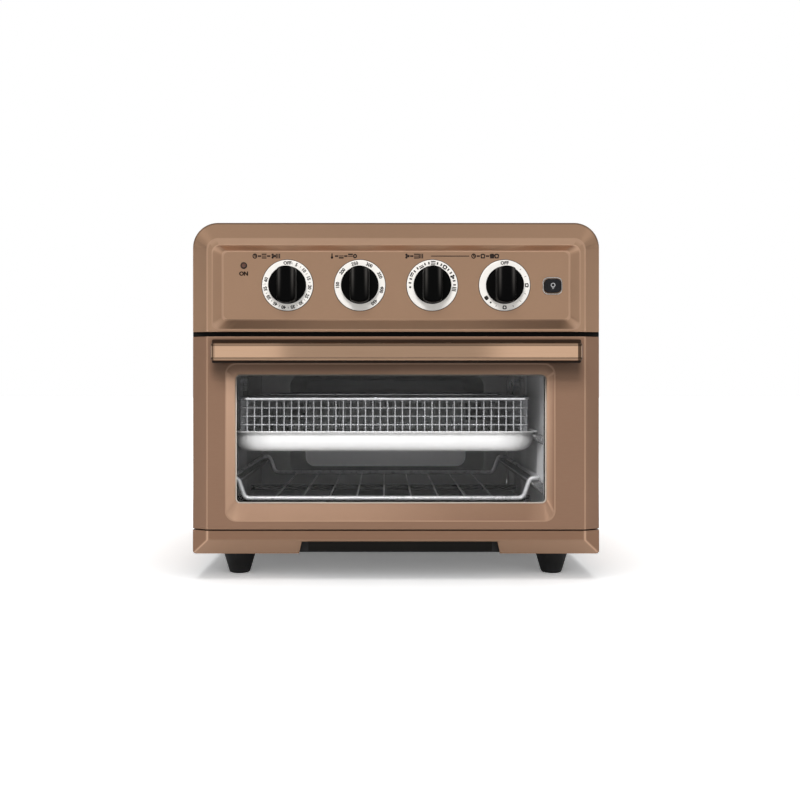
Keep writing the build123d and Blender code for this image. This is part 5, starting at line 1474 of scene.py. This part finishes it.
@dataclass
class Door:
    """Bevelled door pressing with a framed window, its gasket and a strap handle."""

    half: float = 203.0
    low: float = 50.2
    high: float = 241.5
    bevel: Pair = (15.7, 8.0)
    shell_depth: float = 10.0
    slope: Box = (-169.0, 157.0, 58.2, 214.3)
    window: Box = (-160.7, 150.5, 75.0, 204.0)
    slope_corner: float = 11.0
    window_corner: float = 5.0
    window_depth: float = 8.0
    sheet: float = 1.2
    slot: Pair = (176.1, 179.9)

    def panel(self) -> Piece:
        """Presses the door: rings step from the rear edge over the bevel and ridge down to the glass.

        The two slots in its low side that the hinges need are left out of the faces.

        Returns:
            The pressing.
        """
        width, depth = self.bevel
        ridge, edge = self.half - width, self.half - 2.0
        near_depth = 1.5
        rows = [
            (-x, x, self.low, self.high, SMALL_CORNER, SMALL_CORNER, back) for x, back in (
                (self.half, self.shell_depth), (self.half, depth), (edge, depth * (edge - ridge) / width),
                (ridge + width * near_depth / depth, near_depth), (ridge, 0.0),
            )
        ]
        rows += [
            (*frame_sides, corner, corner, back) for frame_sides, corner, back in (
                (self.slope, self.slope_corner, 0.0), (self.window, self.window_corner, self.window_depth),
                (self.window, self.window_corner, self.shell_depth),
            )
        ]
        cuts = (0, 0.8, 0, 0, 0.8, 1.0, 0.6, 0)
        inner, outer = self.slot
        even = np.linspace(-170.0, 170.0, 16)
        low_marks = np.concatenate([[-184, -outer, -inner, -174], even, [174, inner, outer, 184]])
        rings = framed_rings(softened(np.array(rows), cuts), arc=8, side=len(low_marks), low_marks=low_marks)
        faces = grid_faces(*rings.shape[:2], True)
        x, y, z = rings.reshape(-1, 3)[faces].mean(1).T
        in_slot = (np.abs(x) > inner) & (np.abs(x) < outer)
        in_slot &= (z < self.low + 0.5) & (y > FRONT_Y + near_depth)
        shell = Shell().add(rings, faces[~in_slot], TO_FRONT, self.panel_marks(rings, bend_marks(cuts)))
        return thickened(shell.object("door_pressing"), self.sheet)

    def panel_marks(self, rings: Array, bent: Array) -> Array:
        """Marks the pressing's painted highlights, and below nought its painted shade.

        Bends and the window's side slopes get a painted highlight, and so does its low slope near both ends.
        The painted light on that slope fades from left to right. The outer bevel gets a painted shade that
        deepens towards its edge.

        Args:
            rings: Points of the pressing.
            bent: One for each ring inside a bend, and nought for the others.

        Returns:
            One mark for each point.
        """
        x, y, z = rings.reshape(-1, 3).T
        depths = y - FRONT_Y
        left, right, low, _ = self.slope
        width = self.bevel[0]
        left_side, right_side = 1.4, 1.8
        marks = np.repeat(bent, rings.shape[1])
        framed = (x > left + 0.5) & (x < right - 0.5) & (depths > 0.4)
        upright = framed & (z > self.window[2] + 3.0) & (z < self.window[3] + 3.0)
        lower = framed & (z < self.window[2] + 1.0)
        marks = np.maximum(marks, np.where(x > 0.0, right_side, left_side) * upright)
        by_depth = np.interp(depths, (0.4, 3.0, 8.0), (0.5, 0.6, 0.72))
        by_place = np.interp(x, (-150.0, -30.0, 60.0, 160.0), (0.2, 0.05, -0.42, -0.56))
        marks = np.where(lower & ~upright, by_depth + by_place, marks)
        by_corner = np.interp(np.minimum(x - left, right - x), (4.0, 14.0, 30.0), (1.5, 1.0, 0.0))
        by_corner *= (z < low + 24.0) * np.where(x > 0.0, 0.5, 1.0)
        marks = np.where(framed, np.maximum(marks, by_corner), marks)
        beyond = np.abs(x) - self.half + width
        by_edge = np.interp(beyond, (0.5, width - 1.2, width), (-0.1, -0.16, -0.4))
        return np.where((depths > 0.5) & (beyond > 0.5), by_edge, marks)

    def core(self) -> Piece:
        """Lays the handle's dark core, a bar behind the strap and a little taller, whose dark edges above and
        below the strap paint the handle's shade.

        Returns:
            The core.
        """
        rows = np.array([
            (-176.5, 176.5, 215.2, 237.2, 1.2, 1.2, -25.2), (-177.5, 177.5, 214.8, 237.5, 1.5, 1.5, -26.0),
            (-177.5, 177.5, 214.8, 237.5, 1.5, 1.5, -28.6), (-176.5, 176.5, 215.4, 236.9, 1.2, 1.2, -29.4),
        ])
        return Shell().rings(framed_rings(rows, arc=5, side=3)).object("handle_core")

    def handle(self) -> Piece:
        """Bends the handle: a flat strap with rounded edges that splays back to the door at both ends.

        The outer and the inner line of the strap in plan are rounded polylines with as many points each. A
        point of the cross-section is a share between the two lines and a height, round a rounded rectangle.

        Returns:
            The handle.
        """
        reach, foot, low, high, edge = 34.0, 180.0, 217.0, 234.0, 1.6
        bend, thick, dark_ends, dark = 4.5, 9.0, (-175.2, 173.6), -0.9
        spans = np.linspace(0.0, 1.0, 40)[1:-1, None]
        lines = []
        for corners in (
            [(-foot, 0.0), (-178.2, -reach), (178.2, -reach), (foot, 0.0)],
            [(-168.5, 0.0), (-167.0, -25.5), (167.0, -25.5), (168.5, 0.0)],
        ):
            line = softened(np.array(corners), [bend] * 4, 8)
            half = len(line) // 2
            between = line[half - 1] + spans * (line[half] - line[half - 1])
            lines.append(np.vstack([line[:half], between, line[half:]]))
        outer, inner = lines
        section = framed_rings(np.array([(0.0, thick, low, high, edge, edge, 0.0)]), arc=6, side=3)[0]
        share = section[:, 0] / thick
        plan = outer[:, None] + share[None, :, None] * (inner - outer)[:, None]
        height = np.broadcast_to(section[:, 2][None], plan.shape[:2])
        rings = np.stack([plan[..., 0], plan[..., 1] + FRONT_Y, height], -1)
        # Painted shade on both ends of the strap, which darkens their highlights.
        ends = np.where((rings[..., 0] < dark_ends[0]) | (rings[..., 0] > dark_ends[1]), dark, 0.0)
        return Shell().rings(rings, painted_marks=ends).object("strap_handle")

    def gasket(self) -> Piece:
        """Lays the pale gasket that shows as a thin line round the glass.

        Returns:
            The gasket.
        """
        left, right, low, high = self.window
        rows = np.array([
            (left - 6, right + 6, low - 6, high + 6, 9.0, 9.0, 10.0),
            (left + 1.2, right - 1.2, low + 1.1, high - 1.1, 4.0, 4.0, 10.05),
            (left + 1.0, right - 1.0, low + 0.9, high - 0.9, 4.2, 4.2, 10.55),
            (left - 6, right + 6, low - 6, high + 6, 9.0, 9.0, 10.55),
        ])
        return Shell().rings(framed_rings(rows, arc=8), looped=True).object("glass_seal")

    def build(self) -> None:
        """Builds and dresses the door's pieces."""
        fit(self.panel(), "door", Slot.FASCIA, ["door_panel"], COPPER_DOOR)
        fit(self.core(), "door", Slot.KNOB, finish=HANDLE_CORE_AND_SHADE)
        fit(self.handle(), "door", Slot.FASCIA, ["door_handle", "handle_legs"], COPPER_POLISHED)
        fit(self.gasket(), "door", Slot.CERAMIC, ["glass_gasket"], GASKET)


@dataclass
class BaseTrim:
    """Folded strip below the door, bevelled at both ends and notched for the crumb tray."""

    half: float = 203.0
    low: float = 25.0
    fold: float = 39.8
    high: float = 48.8
    bevel: Pair = (15.7, 8.0)
    notch: tuple[float, float, float] = (-97.0, 104.0, 38.0)
    slant: float = 3.4
    corner: float = 3.2
    back: float = 15.8
    crossing: float = 0.22
    sheet: float = 1.2

    def grid(self) -> tuple[Array, Array]:
        """Places the columns and rows, closer at the bevels, with ends that follow the low corner's arc.

        Returns:
            Place along X and height of each point.
        """
        left, right, top = self.notch
        z = np.concatenate([
            self.low + np.array([0.0, 0.06, 0.25, 0.6, 1.1, 1.8, 2.6]), np.linspace(self.low + 3.4, top, 12),
            np.linspace(top, self.high, 18)[1:],
        ])
        lean = self.slant * self.rise(z)
        drop = np.clip(self.corner - (z - self.low), 0.0, self.corner)
        end_x = self.half - self.corner + np.sqrt(self.corner**2 - drop**2)
        spread = np.concatenate([np.linspace(0.0, 22.0, 30), np.linspace(22.0, 109.0, 20)[1:]]) / 109.0
        left_part = -end_x[:, None] + spread * (left + lean + end_x)[:, None]
        right_part = (end_x[:, None] - spread * (end_x - right + lean)[:, None])[:, ::-1]
        start, end = left_part[:, -1:], right_part[:, :1]
        middle = start + np.linspace(0.0, 1.0, 40)[None, 1:-1] * (end - start)
        x = np.concatenate([left_part, middle, right_part], 1)
        return x, np.broadcast_to(z[:, None], x.shape)

    def rise(self, z: Array) -> Array:
        """Gives the share of the notch's height reached at a height."""
        return np.clip((z - self.low) / (self.notch[2] - self.low), 0.0, 1.0)

    def build(self) -> None:
        """Folds the strip.

        Its depth at a place is the larger of two ramps, one below the fold and one outside each ridge, joined
        smoothly by the logarithm of their summed powers, so the end corners come out mitred. The mitre and
        the bevel below the fold get a painted highlight.
        """
        x, z = self.grid()
        left, right, top = self.notch
        width, depth = self.bevel
        lower = (self.fold - z) / (self.fold - self.low) * depth
        outer = (np.abs(x) - (self.half - width)) / width * depth
        powers = np.exp(np.stack([lower, outer, np.zeros_like(x)]) / self.crossing)
        face = np.clip(self.crossing * np.log(powers.sum(0)), 0.0, self.back)
        weight = powers / powers.sum(0)
        # Painted highlight on the mitre and on the bevel below the fold.
        crease_highlights = 9.5 * weight[1] * (1.0 - weight[1]) + 1.3 * weight[0]
        flat = np.full_like(x[0], FRONT_Y + self.back)
        below = np.stack([x[0], flat, np.full_like(flat, self.low)], -1)[None]
        above = np.stack([x[-1], flat, np.full_like(flat, self.high)], -1)[None]
        rings = np.concatenate([below, np.stack([x, FRONT_Y + face, z], -1), above], 0)
        faces = grid_faces(*rings.shape[:2])
        middle_x, _, middle_z = rings.reshape(-1, 3)[faces].mean(1).T
        lean = self.slant * self.rise(middle_z)
        open_notch = (middle_z < top) & (middle_x > left + lean) & (middle_x < right - lean)
        plain = np.zeros_like(crease_highlights[:1])
        marks = np.vstack([plain, crease_highlights, plain])
        shell = Shell().add(rings, faces[~open_notch], TO_FRONT, marks)
        for end, way in ((rings[:, 0], -1.0), (rings[:, -1], 1.0)):
            shell.add(end, [list(range(len(end)))], (way, 0.0, 0.0))
        strip = thickened(shell.object("base_trim_strip"), self.sheet)
        fit(strip, "cabinet", Slot.FASCIA, ["base_trim"], COPPER_TRIM)


@dataclass
class Cookware:
    """Air fry basket, baking pan and wire rack."""

    x: float = -12.0
    basket_half: float = 147.8
    basket_y: Pair = (-128.0, 118.0)
    rim_z: float = 179.4
    floor_z: float = 127.2
    pitch: float = 7.6
    wire: float = 0.6
    rack_levels: Pair = (77.9, 98.4)
    rack_half: float = 157.4
    rack_depths: Pair = (29.0, 304.5)
    rack_pitch: float = 27.7
    pan_half: Pair = (154.2, 132.0)
    pan_levels: Pair = (126.2, 146.2)
    pan_middle: float = 161.0

    def loop(self, cut: float, steps: int, level: float) -> Array:
        """Path round the basket's outline.

        Args:
            cut: Length taken from both sides of each corner.
            steps: Pieces each bend is divided into.
            level: Height of the path.

        Returns:
            Points along the path.
        """
        (front, back), half = self.basket_y, self.basket_half
        corners = np.array([(-half, front), (half, front), (half, back), (-half, back)])
        flat = rounded_path(corners + np.array([self.x, 0.0]), cut, steps, True)
        return np.column_stack([flat, np.full(len(flat), level)])

    def basket_wires(self) -> Piece:
        """Weaves the basket: U-shaped wires both ways over the floor and up the walls, and hoops round them.

        Every wire is a swept circle, and those of one direction lie a little above those of the other.

        Returns:
            The net.
        """
        (front, back), half = self.basket_y, self.basket_half
        top, floor = self.rim_z, self.floor_z
        shell = Shell()
        bend, above, sides = 7.0, 1.0, 5
        count = int((half - bend) // self.pitch)
        section = ((front, top), (front, floor), (back, floor), (back, top))
        x_marks = self.x + (np.arange(-count - 1, count + 1) + 0.5) * self.pitch
        paths = [[(x, y, z) for y, z in section] for x in x_marks]
        y_marks = np.arange(front + bend, back - bend + 0.1, self.pitch)
        y_marks += (back - front - 2 * bend - (y_marks[-1] - y_marks[0])) / 2
        section = ((-half, top), (-half, floor), (half, floor), (half, top))
        paths += [[(self.x + x, y, z + above) for x, z in section] for y in y_marks]
        for corners in paths:
            shell.rings(swept(rounded_path(np.array(corners), bend, 4), self.wire, sides))
        first_hoop, hoop_pitch = 9.6, 8.7
        for level in np.arange(top - first_hoop, floor + 4.0, -hoop_pitch):
            shell.rings(swept(self.loop(5.5, 5, level), self.wire, sides, True), looped=True)
        return shell.object("basket_mesh")

    def basket_rim(self) -> Piece:
        """Bends the rim: one round bar in a rounded rectangle."""
        rings = swept(self.loop(6.0, 8, self.rim_z), 2.2, 12, True)
        return Shell().rings(rings, looped=True).object("basket_rim_bar")

    def rack(self) -> Piece:
        """Bends the rack: one rail that dips at both ends, and thin wires between the dips.

        The rail's corners in plan are square turns at the upper level, with a sloping step down to the lower
        level beside each. Every corner is rounded. The wires and the rail get a painted shade towards the
        front.

        Returns:
            The rack.
        """
        (low, high), side = self.rack_levels, self.rack_half
        front, back = (FRONT_Y + depth for depth in self.rack_depths)
        step_from, step_to = 8.6, 15.6
        quarter = [(-side, high), (-side + step_from, high), (-side + step_to, low)]
        line = quarter + [(-x, z) for x, z in reversed(quarter)]
        corners = [(self.x + x, front, z) for x, z in line]
        corners += [(self.x + x, back, z) for x, z in reversed(line)]
        rail = swept(rounded_path(np.array(corners), 5.0, 6, True), 2.3, 10, True)
        # Painted shade towards the front of the rail, and of the wires below.
        shell = Shell().rings(rail, painted_marks=np.interp(rail[..., 1], (front, back), (0.56, 1.0)), looped=True)
        for place in np.arange(-4, 5) * self.rack_pitch:
            wire = np.array([(self.x + place, y, low + 1.2) for y in np.linspace(front - 1.0, back + 1.0, 8)])
            thin = swept(wire, 0.9, 6)
            shell.rings(thin, painted_marks=np.interp(thin[..., 1], (front, back), (0.12, 0.8)))
        return shell.object("wire_rack")

    def pan(self) -> Piece:
        """Draws the pan: rings run from the floor over a wide bend up the wall to a rolled flange.

        The bend is a quarter of an ellipse in section, so the pan looks soft underneath.

        Returns:
            The pan.
        """
        (half_x, half_y), (low, high) = self.pan_half, self.pan_levels
        across, along, tall = 13.0, 6.0, 13.0
        turn = np.radians(np.linspace(0.0, 90.0, 14))
        steps = [
            (half_x - 1.0 - across * (1 - np.sin(a)), half_y - 1.0 - along * (1 - np.sin(a)),
             low + tall * (1 - np.cos(a)), 9.0 + 7.0 * np.sin(a)) for a in turn
        ]
        flange = ((0.0, 0.4, 16.0), (0.5, 0.0, 16.4), (3.6, 0.0, 17.0), (4.2, 0.5, 17.4), (4.2, 1.5, 17.4))
        steps += [(half_x + out, half_y + out, high - down, corner) for out, down, corner in flange]
        y = FRONT_Y + self.pan_middle
        profile = np.array([(self.x - a, self.x + a, y - b, y + b, r, r, level) for a, b, level, r in steps])
        upright = framed_rings(profile, arc=12, side=10)
        rings = np.stack([upright[..., 0], upright[..., 2], upright[..., 1] - FRONT_Y], -1)
        aside = np.abs(rings[..., 0] - self.x)
        # Painted shade that greys the pan towards its ends.
        shade = np.interp(aside, (124.0, 136.0, 152.0, 155.0, 158.0), (1.0, 0.6, 0.34, 0.5, 0.8))
        shell = Shell().rings(rings, (0.0, 0.0, 1.0), (True, False), shade)
        return walled(shell.object("deep_drawn_pan"), 0.9)

    def build(self) -> None:
        """Builds and dresses the cookware."""
        fit(self.basket_rim(), "basket", Slot.WIRE, ["basket_rim"])
        nets = ["basket_end_nets", "basket_long_nets", "basket_floor_net"]
        fit(self.basket_wires(), "basket", Slot.WIRE, nets, NET_WIRE)
        fit(self.rack(), "oven_rack", Slot.WIRE, ["oven_rack"], RACK_WIRE)
        fit(self.pan(), "baking_pan", Slot.PAN, ["baking_pan"])


# CAD nodes that take another finish than their slot's.
NODE_FINISHES = {
    # The front frame's black enamel is a dark sheet that paints the shade seen in the joint above the door.
    "front_frame": BLACK_ENAMEL,
    "cavity_left_wall": LEFT_COATING,
    "cavity_right_wall": RIGHT_COATING,
}


@dataclass
class Feet:
    """Four tapered rubber feet."""

    x: float = 161.2
    depths: Pair = (43.5, 300.0)

    def build(self) -> None:
        """Turns the feet: a cone with a soft lower edge and a worn pad."""
        profile = np.array([
            (17.3, 25.0), (17.0, 24.0), (15.9, 19.0), (11.1, 2.6), (10.6, 1.2), (10.0, 0.4), (9.0, 0.05),
            (5.0, 0.05), (0.4, 0.05),
        ])
        shell = Shell()
        for side in (-self.x, self.x):
            for depth in self.depths:
                shell.rings(turned(profile, (side, FRONT_Y + depth, 0.0), "z", 56))
        fit(shell.object("rubber_feet"), "cabinet", Slot.RUBBER, ["feet"])


@dataclass
class BackWall:
    """Pressed back wall of the cavity, with a shallow pocket."""

    wall: Box = (-172.8, 148.8, 58.2, 235.8)
    pocket: Box = (-137.0, 121.0, 74.0, 206.0)
    floor: Box = (-115.0, 95.0, 84.0, 198.0)
    corner: float = 12.0
    depth: float = 312.0
    deep: float = 12.0
    sheet: float = 0.8

    def build(self) -> None:
        """Presses the wall.

        Rings step from the wall's edge over the pocket's slope to its floor and on towards its middle. The
        painted light and shade at a place is even outside the pocket, dark on the slope, and on the floor it
        fades from bright below the middle height to dark at the top.
        """
        x0, x1, z0, z1 = self.floor
        across, up, last_corner, steps = 95.0, 50.0, 1.0, 6
        bottom = self.depth + self.deep
        inner = []
        for share in np.linspace(0.0, 1.0, steps + 1)[1:]:
            corner = self.corner * (1 - share) + last_corner
            sides = (x0 + across * share, x1 - across * share, z0 + up * share, z1 - up * share)
            inner.append((*sides, corner, corner, bottom))
        rows = np.array([
            (*self.wall, 1.0, 1.0, self.depth), (*self.pocket, 16.0, 16.0, self.depth),
            (*self.floor, self.corner, self.corner, bottom), *inner,
        ])
        rings = framed_rings(softened(rows, [0.0, 2.0, 2.0] + [0.0] * steps), arc=8, side=16)
        deep = (rings[..., 1] - FRONT_Y - self.depth) / self.deep
        height = rings[..., 2]
        # Painted light and shade of the wall: on the pocket's floor, outside it and on its slope.
        on_floor = np.interp(height, (80.0, 110.0, 140.0, 170.0, 186.0), (1.15, 1.35, 1.05, 0.34, 0.17))
        outside = np.interp(height, (80.0, 120.0, 180.0, 230.0), (0.4, 0.45, 0.6, 0.5))
        slope = np.interp(height, (70.0, 150.0, 195.0, 210.0), (0.28, 0.28, 0.2, 0.7))
        level = np.where(deep < 0.08, outside, np.where(deep > 0.96, on_floor, slope))
        shell = Shell().rings(rings, TO_FRONT, (False, True), level)
        piece = thickened(shell.object("pressed_back_wall"), self.sheet)
        fit(piece, "cabinet", Slot.CAVITY, ["cavity_back_wall"], BACK_COATING)


@dataclass
class SideVents:
    """Fields of small pressed holes in both side walls of the cavity."""

    walls: Pair = (-172.6, 148.6)
    fronts: Pair = (128.0, 184.0)
    heights: Pair = (197.5, 188.5)
    columns: int = 6
    pitch: float = 9.0

    def build(self) -> None:
        """Presses the holes: a small turned rim with a dark sunk middle that paints the open hole's shade,
        repeated along each wall.
        """
        rims, holes = Shell(), Shell()
        rim = np.array([(3.2, 0.0), (3.0, 0.35), (2.6, 0.5), (2.2, 0.35), (2.1, 0.0)])
        points = 16
        for wall, front, way in zip(self.walls, self.fronts, (1.0, -1.0)):
            inward = (way, 0.0, 0.0)
            shape, sunk = rim * np.array([1.0, way]), np.array([(2.2, 0.1 * way)])
            for height in self.heights:
                for column in range(self.columns):
                    middle = (wall, FRONT_Y + front + column * self.pitch, height)
                    rims.rings(turned(shape, middle, "x", points), looped=True)
                    holes.add(turned(sunk, middle, "x", points), [list(range(points))], inward)
        fit(rims.object("side_vent_rims"), "cabinet", Slot.CAVITY, finish=NET_WIRE)
        fit(holes.object("side_vent_holes"), "cabinet", Slot.CAVITY, finish=TRAY_COATING)


def dress_nodes() -> None:
    """Puts each slot's finish on the CAD nodes that stay in sight, or the node's own where it has one."""
    by_label = {slot.label: slot for slot in Slot}
    for row in frame["record"]["subparts"]:
        node = frame["nodes"][row["node"]]
        node.data.materials.clear()
        finish = NODE_FINISHES.get(row["node"], by_label[row["material_slot"]].finish)
        node.data.materials.append(finish.material())
    LOG.info("dressed %d nodes", len(frame["nodes"]))


@dataclass
class Studio:
    """Camera, soft light, pale floor and background."""

    camera_m: Vector3 = (-0.012, -1.123, 0.200)
    lens: float = 43.587
    shift: Pair = (0.020, -0.027)
    key_m: Vector3 = (-0.15, -1.30, 1.05)
    key_size_m: Pair = (0.6, 0.4)
    key_power: float = 26.0
    overhead_m: Vector3 = (0.0, -0.04, 1.8)
    overhead_size_m: Pair = (1.2, 1.2)
    overhead_power: float = 22.0
    floor_tone: float = 0.85
    floor_gain: float = 1.3
    least_glow: float = 0.16
    white_from_m: float = 0.45
    aim_m: Vector3 = (0.0, 0.0, 0.2)
    sensor_width: float = 36.0

    def camera(self) -> None:
        """Sets the camera at the photograph's place."""
        data = bpy.data.cameras.new("camera")
        data.lens = self.lens
        data.sensor_width = self.sensor_width
        data.shift_x, data.shift_y = self.shift
        made = bpy.data.objects.new("camera", data)
        made.location = self.camera_m
        made.rotation_euler = (math.radians(90.0), 0.0, 0.0)
        bpy.context.scene.collection.objects.link(made)
        bpy.context.scene.camera = made

    def lamp(self, name: str, place_m: Vector3, size_m: Pair, power: float) -> None:
        """Hangs a large soft lamp aimed at the object's middle.

        Args:
            name: Name of the lamp.
            place_m: Its place in metres.
            size_m: Its width and height in metres.
            power: Its power in watts.
        """
        data = bpy.data.lights.new(name, "AREA")
        data.shape = "RECTANGLE"
        data.size, data.size_y = size_m
        data.energy = power
        made = bpy.data.objects.new(name, data)
        made.location = place_m
        aim = np.array(self.aim_m) - np.array(place_m)
        turn = math.atan2(aim[1], aim[0]) - math.pi / 2
        made.rotation_euler = (math.atan2(math.hypot(aim[0], aim[1]), -aim[2]), 0.0, turn)
        made.visible_glossy = False
        bpy.context.scene.collection.objects.link(made)

    def world(self) -> None:
        """Lights the scene from a dome, and shows white where the camera looks at it.

        The light of a direction is a level by its part along X times one by its part along Z: bright strips
        at both sides, soft boxes between them and the middle, a bright horizon, and dark straight up.
        """
        world = bpy.data.worlds.new("studio")
        bpy.context.scene.world = world
        world.use_nodes = True
        tree = world.node_tree
        tree.nodes.clear()
        parts = axes(tree, add_node(tree, "ShaderNodeTexCoord", {}).outputs["Generated"])
        across = ramped(tree, ranged(tree, parts["X"], -1.0, 1.0), (
            (0.0, 3.8), (0.012, 3.6), (0.03, 0.4), (0.135, 0.5), (0.16, 1.9), (0.19, 1.9), (0.215, 0.6),
            (0.37, 1.0), (0.4, 1.22), (0.4455, 1.22), (0.45, 0.72), (0.549, 0.72), (0.562, 1.22),
            (0.61, 1.22), (0.64, 1.0), (0.785, 0.6), (0.81, 1.9), (0.84, 1.9), (0.865, 0.5), (0.97, 0.4),
            (0.988, 3.6), (1.0, 3.8),
        ))
        upwards = ramped(tree, ranged(tree, parts["Z"], -1.0, 1.0), (
            (0.0, 0.4), (0.49, 0.4), (0.495, 1.0), (0.53, 1.0), (0.55, 0.34), (0.6, 0.5), (0.75, 0.6),
            (0.85, 0.6), (0.945, 0.52), (0.97, 0.1), (1.0, 0.06),
        ))
        shown = blended(tree, seen_ray(tree), multiplied(tree, across, upwards), WHITE)
        back = add_node(tree, "ShaderNodeBackground", {"Color": shown, "Strength": 1.0}).outputs[0]
        add_node(tree, "ShaderNodeOutputWorld", {"Surface": back})

    def floor_material(self) -> bpy.types.Material:
        """Makes the floor's paper: it glows away from the object, so that only the shadow near it is seen.

        Returns:
            The material.
        """
        made = bpy.data.materials.new("pale_studio_floor")
        made.use_nodes = True
        tree = made.node_tree
        tree.nodes.clear()
        place = own_place(tree)
        seen = seen_ray(tree)
        level = ranged(tree, seen, 0.0, 1.0, self.floor_tone, self.floor_gain)
        gloss = ranged(tree, noise(tree, place, 40.0), 0.0, 1.0, 0.8, 0.9)
        paper = add_node(tree, "ShaderNodeBsdfDiffuse", {"Color": level, "Roughness": gloss}).outputs[0]
        away = add_node(tree, "ShaderNodeVectorMath", {0: place}, operation="LENGTH").outputs["Value"]
        far = ranged(tree, away, self.white_from_m, self.white_from_m + 0.3, self.least_glow)
        strength = maths(tree, "MULTIPLY", seen, far)
        glow = add_node(tree, "ShaderNodeEmission", {"Color": WHITE, "Strength": strength}).outputs[0]
        both = add_node(tree, "ShaderNodeAddShader", {0: paper, 1: glow}).outputs[0]
        add_node(tree, "ShaderNodeOutputMaterial", {"Surface": both})
        return made

    def floor(self) -> None:
        """Lays a pale floor that keeps the shadow of the overhead lamp, out of the key lamp's light."""
        corners = 9000.0 * np.array([(-1.0, -1.0, 0.0), (1.0, -1.0, 0.0), (1.0, 1.0, 0.0), (-1.0, 1.0, 0.0)])
        made = Shell().add(corners, [[0, 1, 2, 3]], (0.0, 0.0, 1.0)).object("studio_floor")
        made.data.materials.append(self.floor_material())
        unlit = bpy.data.collections.new("outside_the_key")
        unlit.objects.link(made)
        unlit.collection_objects[0].light_linking.link_state = "EXCLUDE"
        bpy.data.objects["key"].light_linking.receiver_collection = unlit

    def build(self) -> None:
        """Sets up camera, light, floor and view."""
        self.camera()
        self.lamp("key", self.key_m, self.key_size_m, self.key_power)
        self.lamp("overhead", self.overhead_m, self.overhead_size_m, self.overhead_power)
        self.world()
        self.floor()
        bpy.context.scene.view_settings.view_transform = "Standard"


def main() -> None:
    """Builds the sub-assemblies in order."""
    logging.basicConfig(level=logging.INFO, format="%(message)s")
    Studio().build()
    dress_nodes()
    ControlPanel().build()
    Door().build()
    BaseTrim().build()
    Feet().build()
    BackWall().build()
    SideVents().build()
    Cookware().build()


if __name__ == "__main__":
    main()
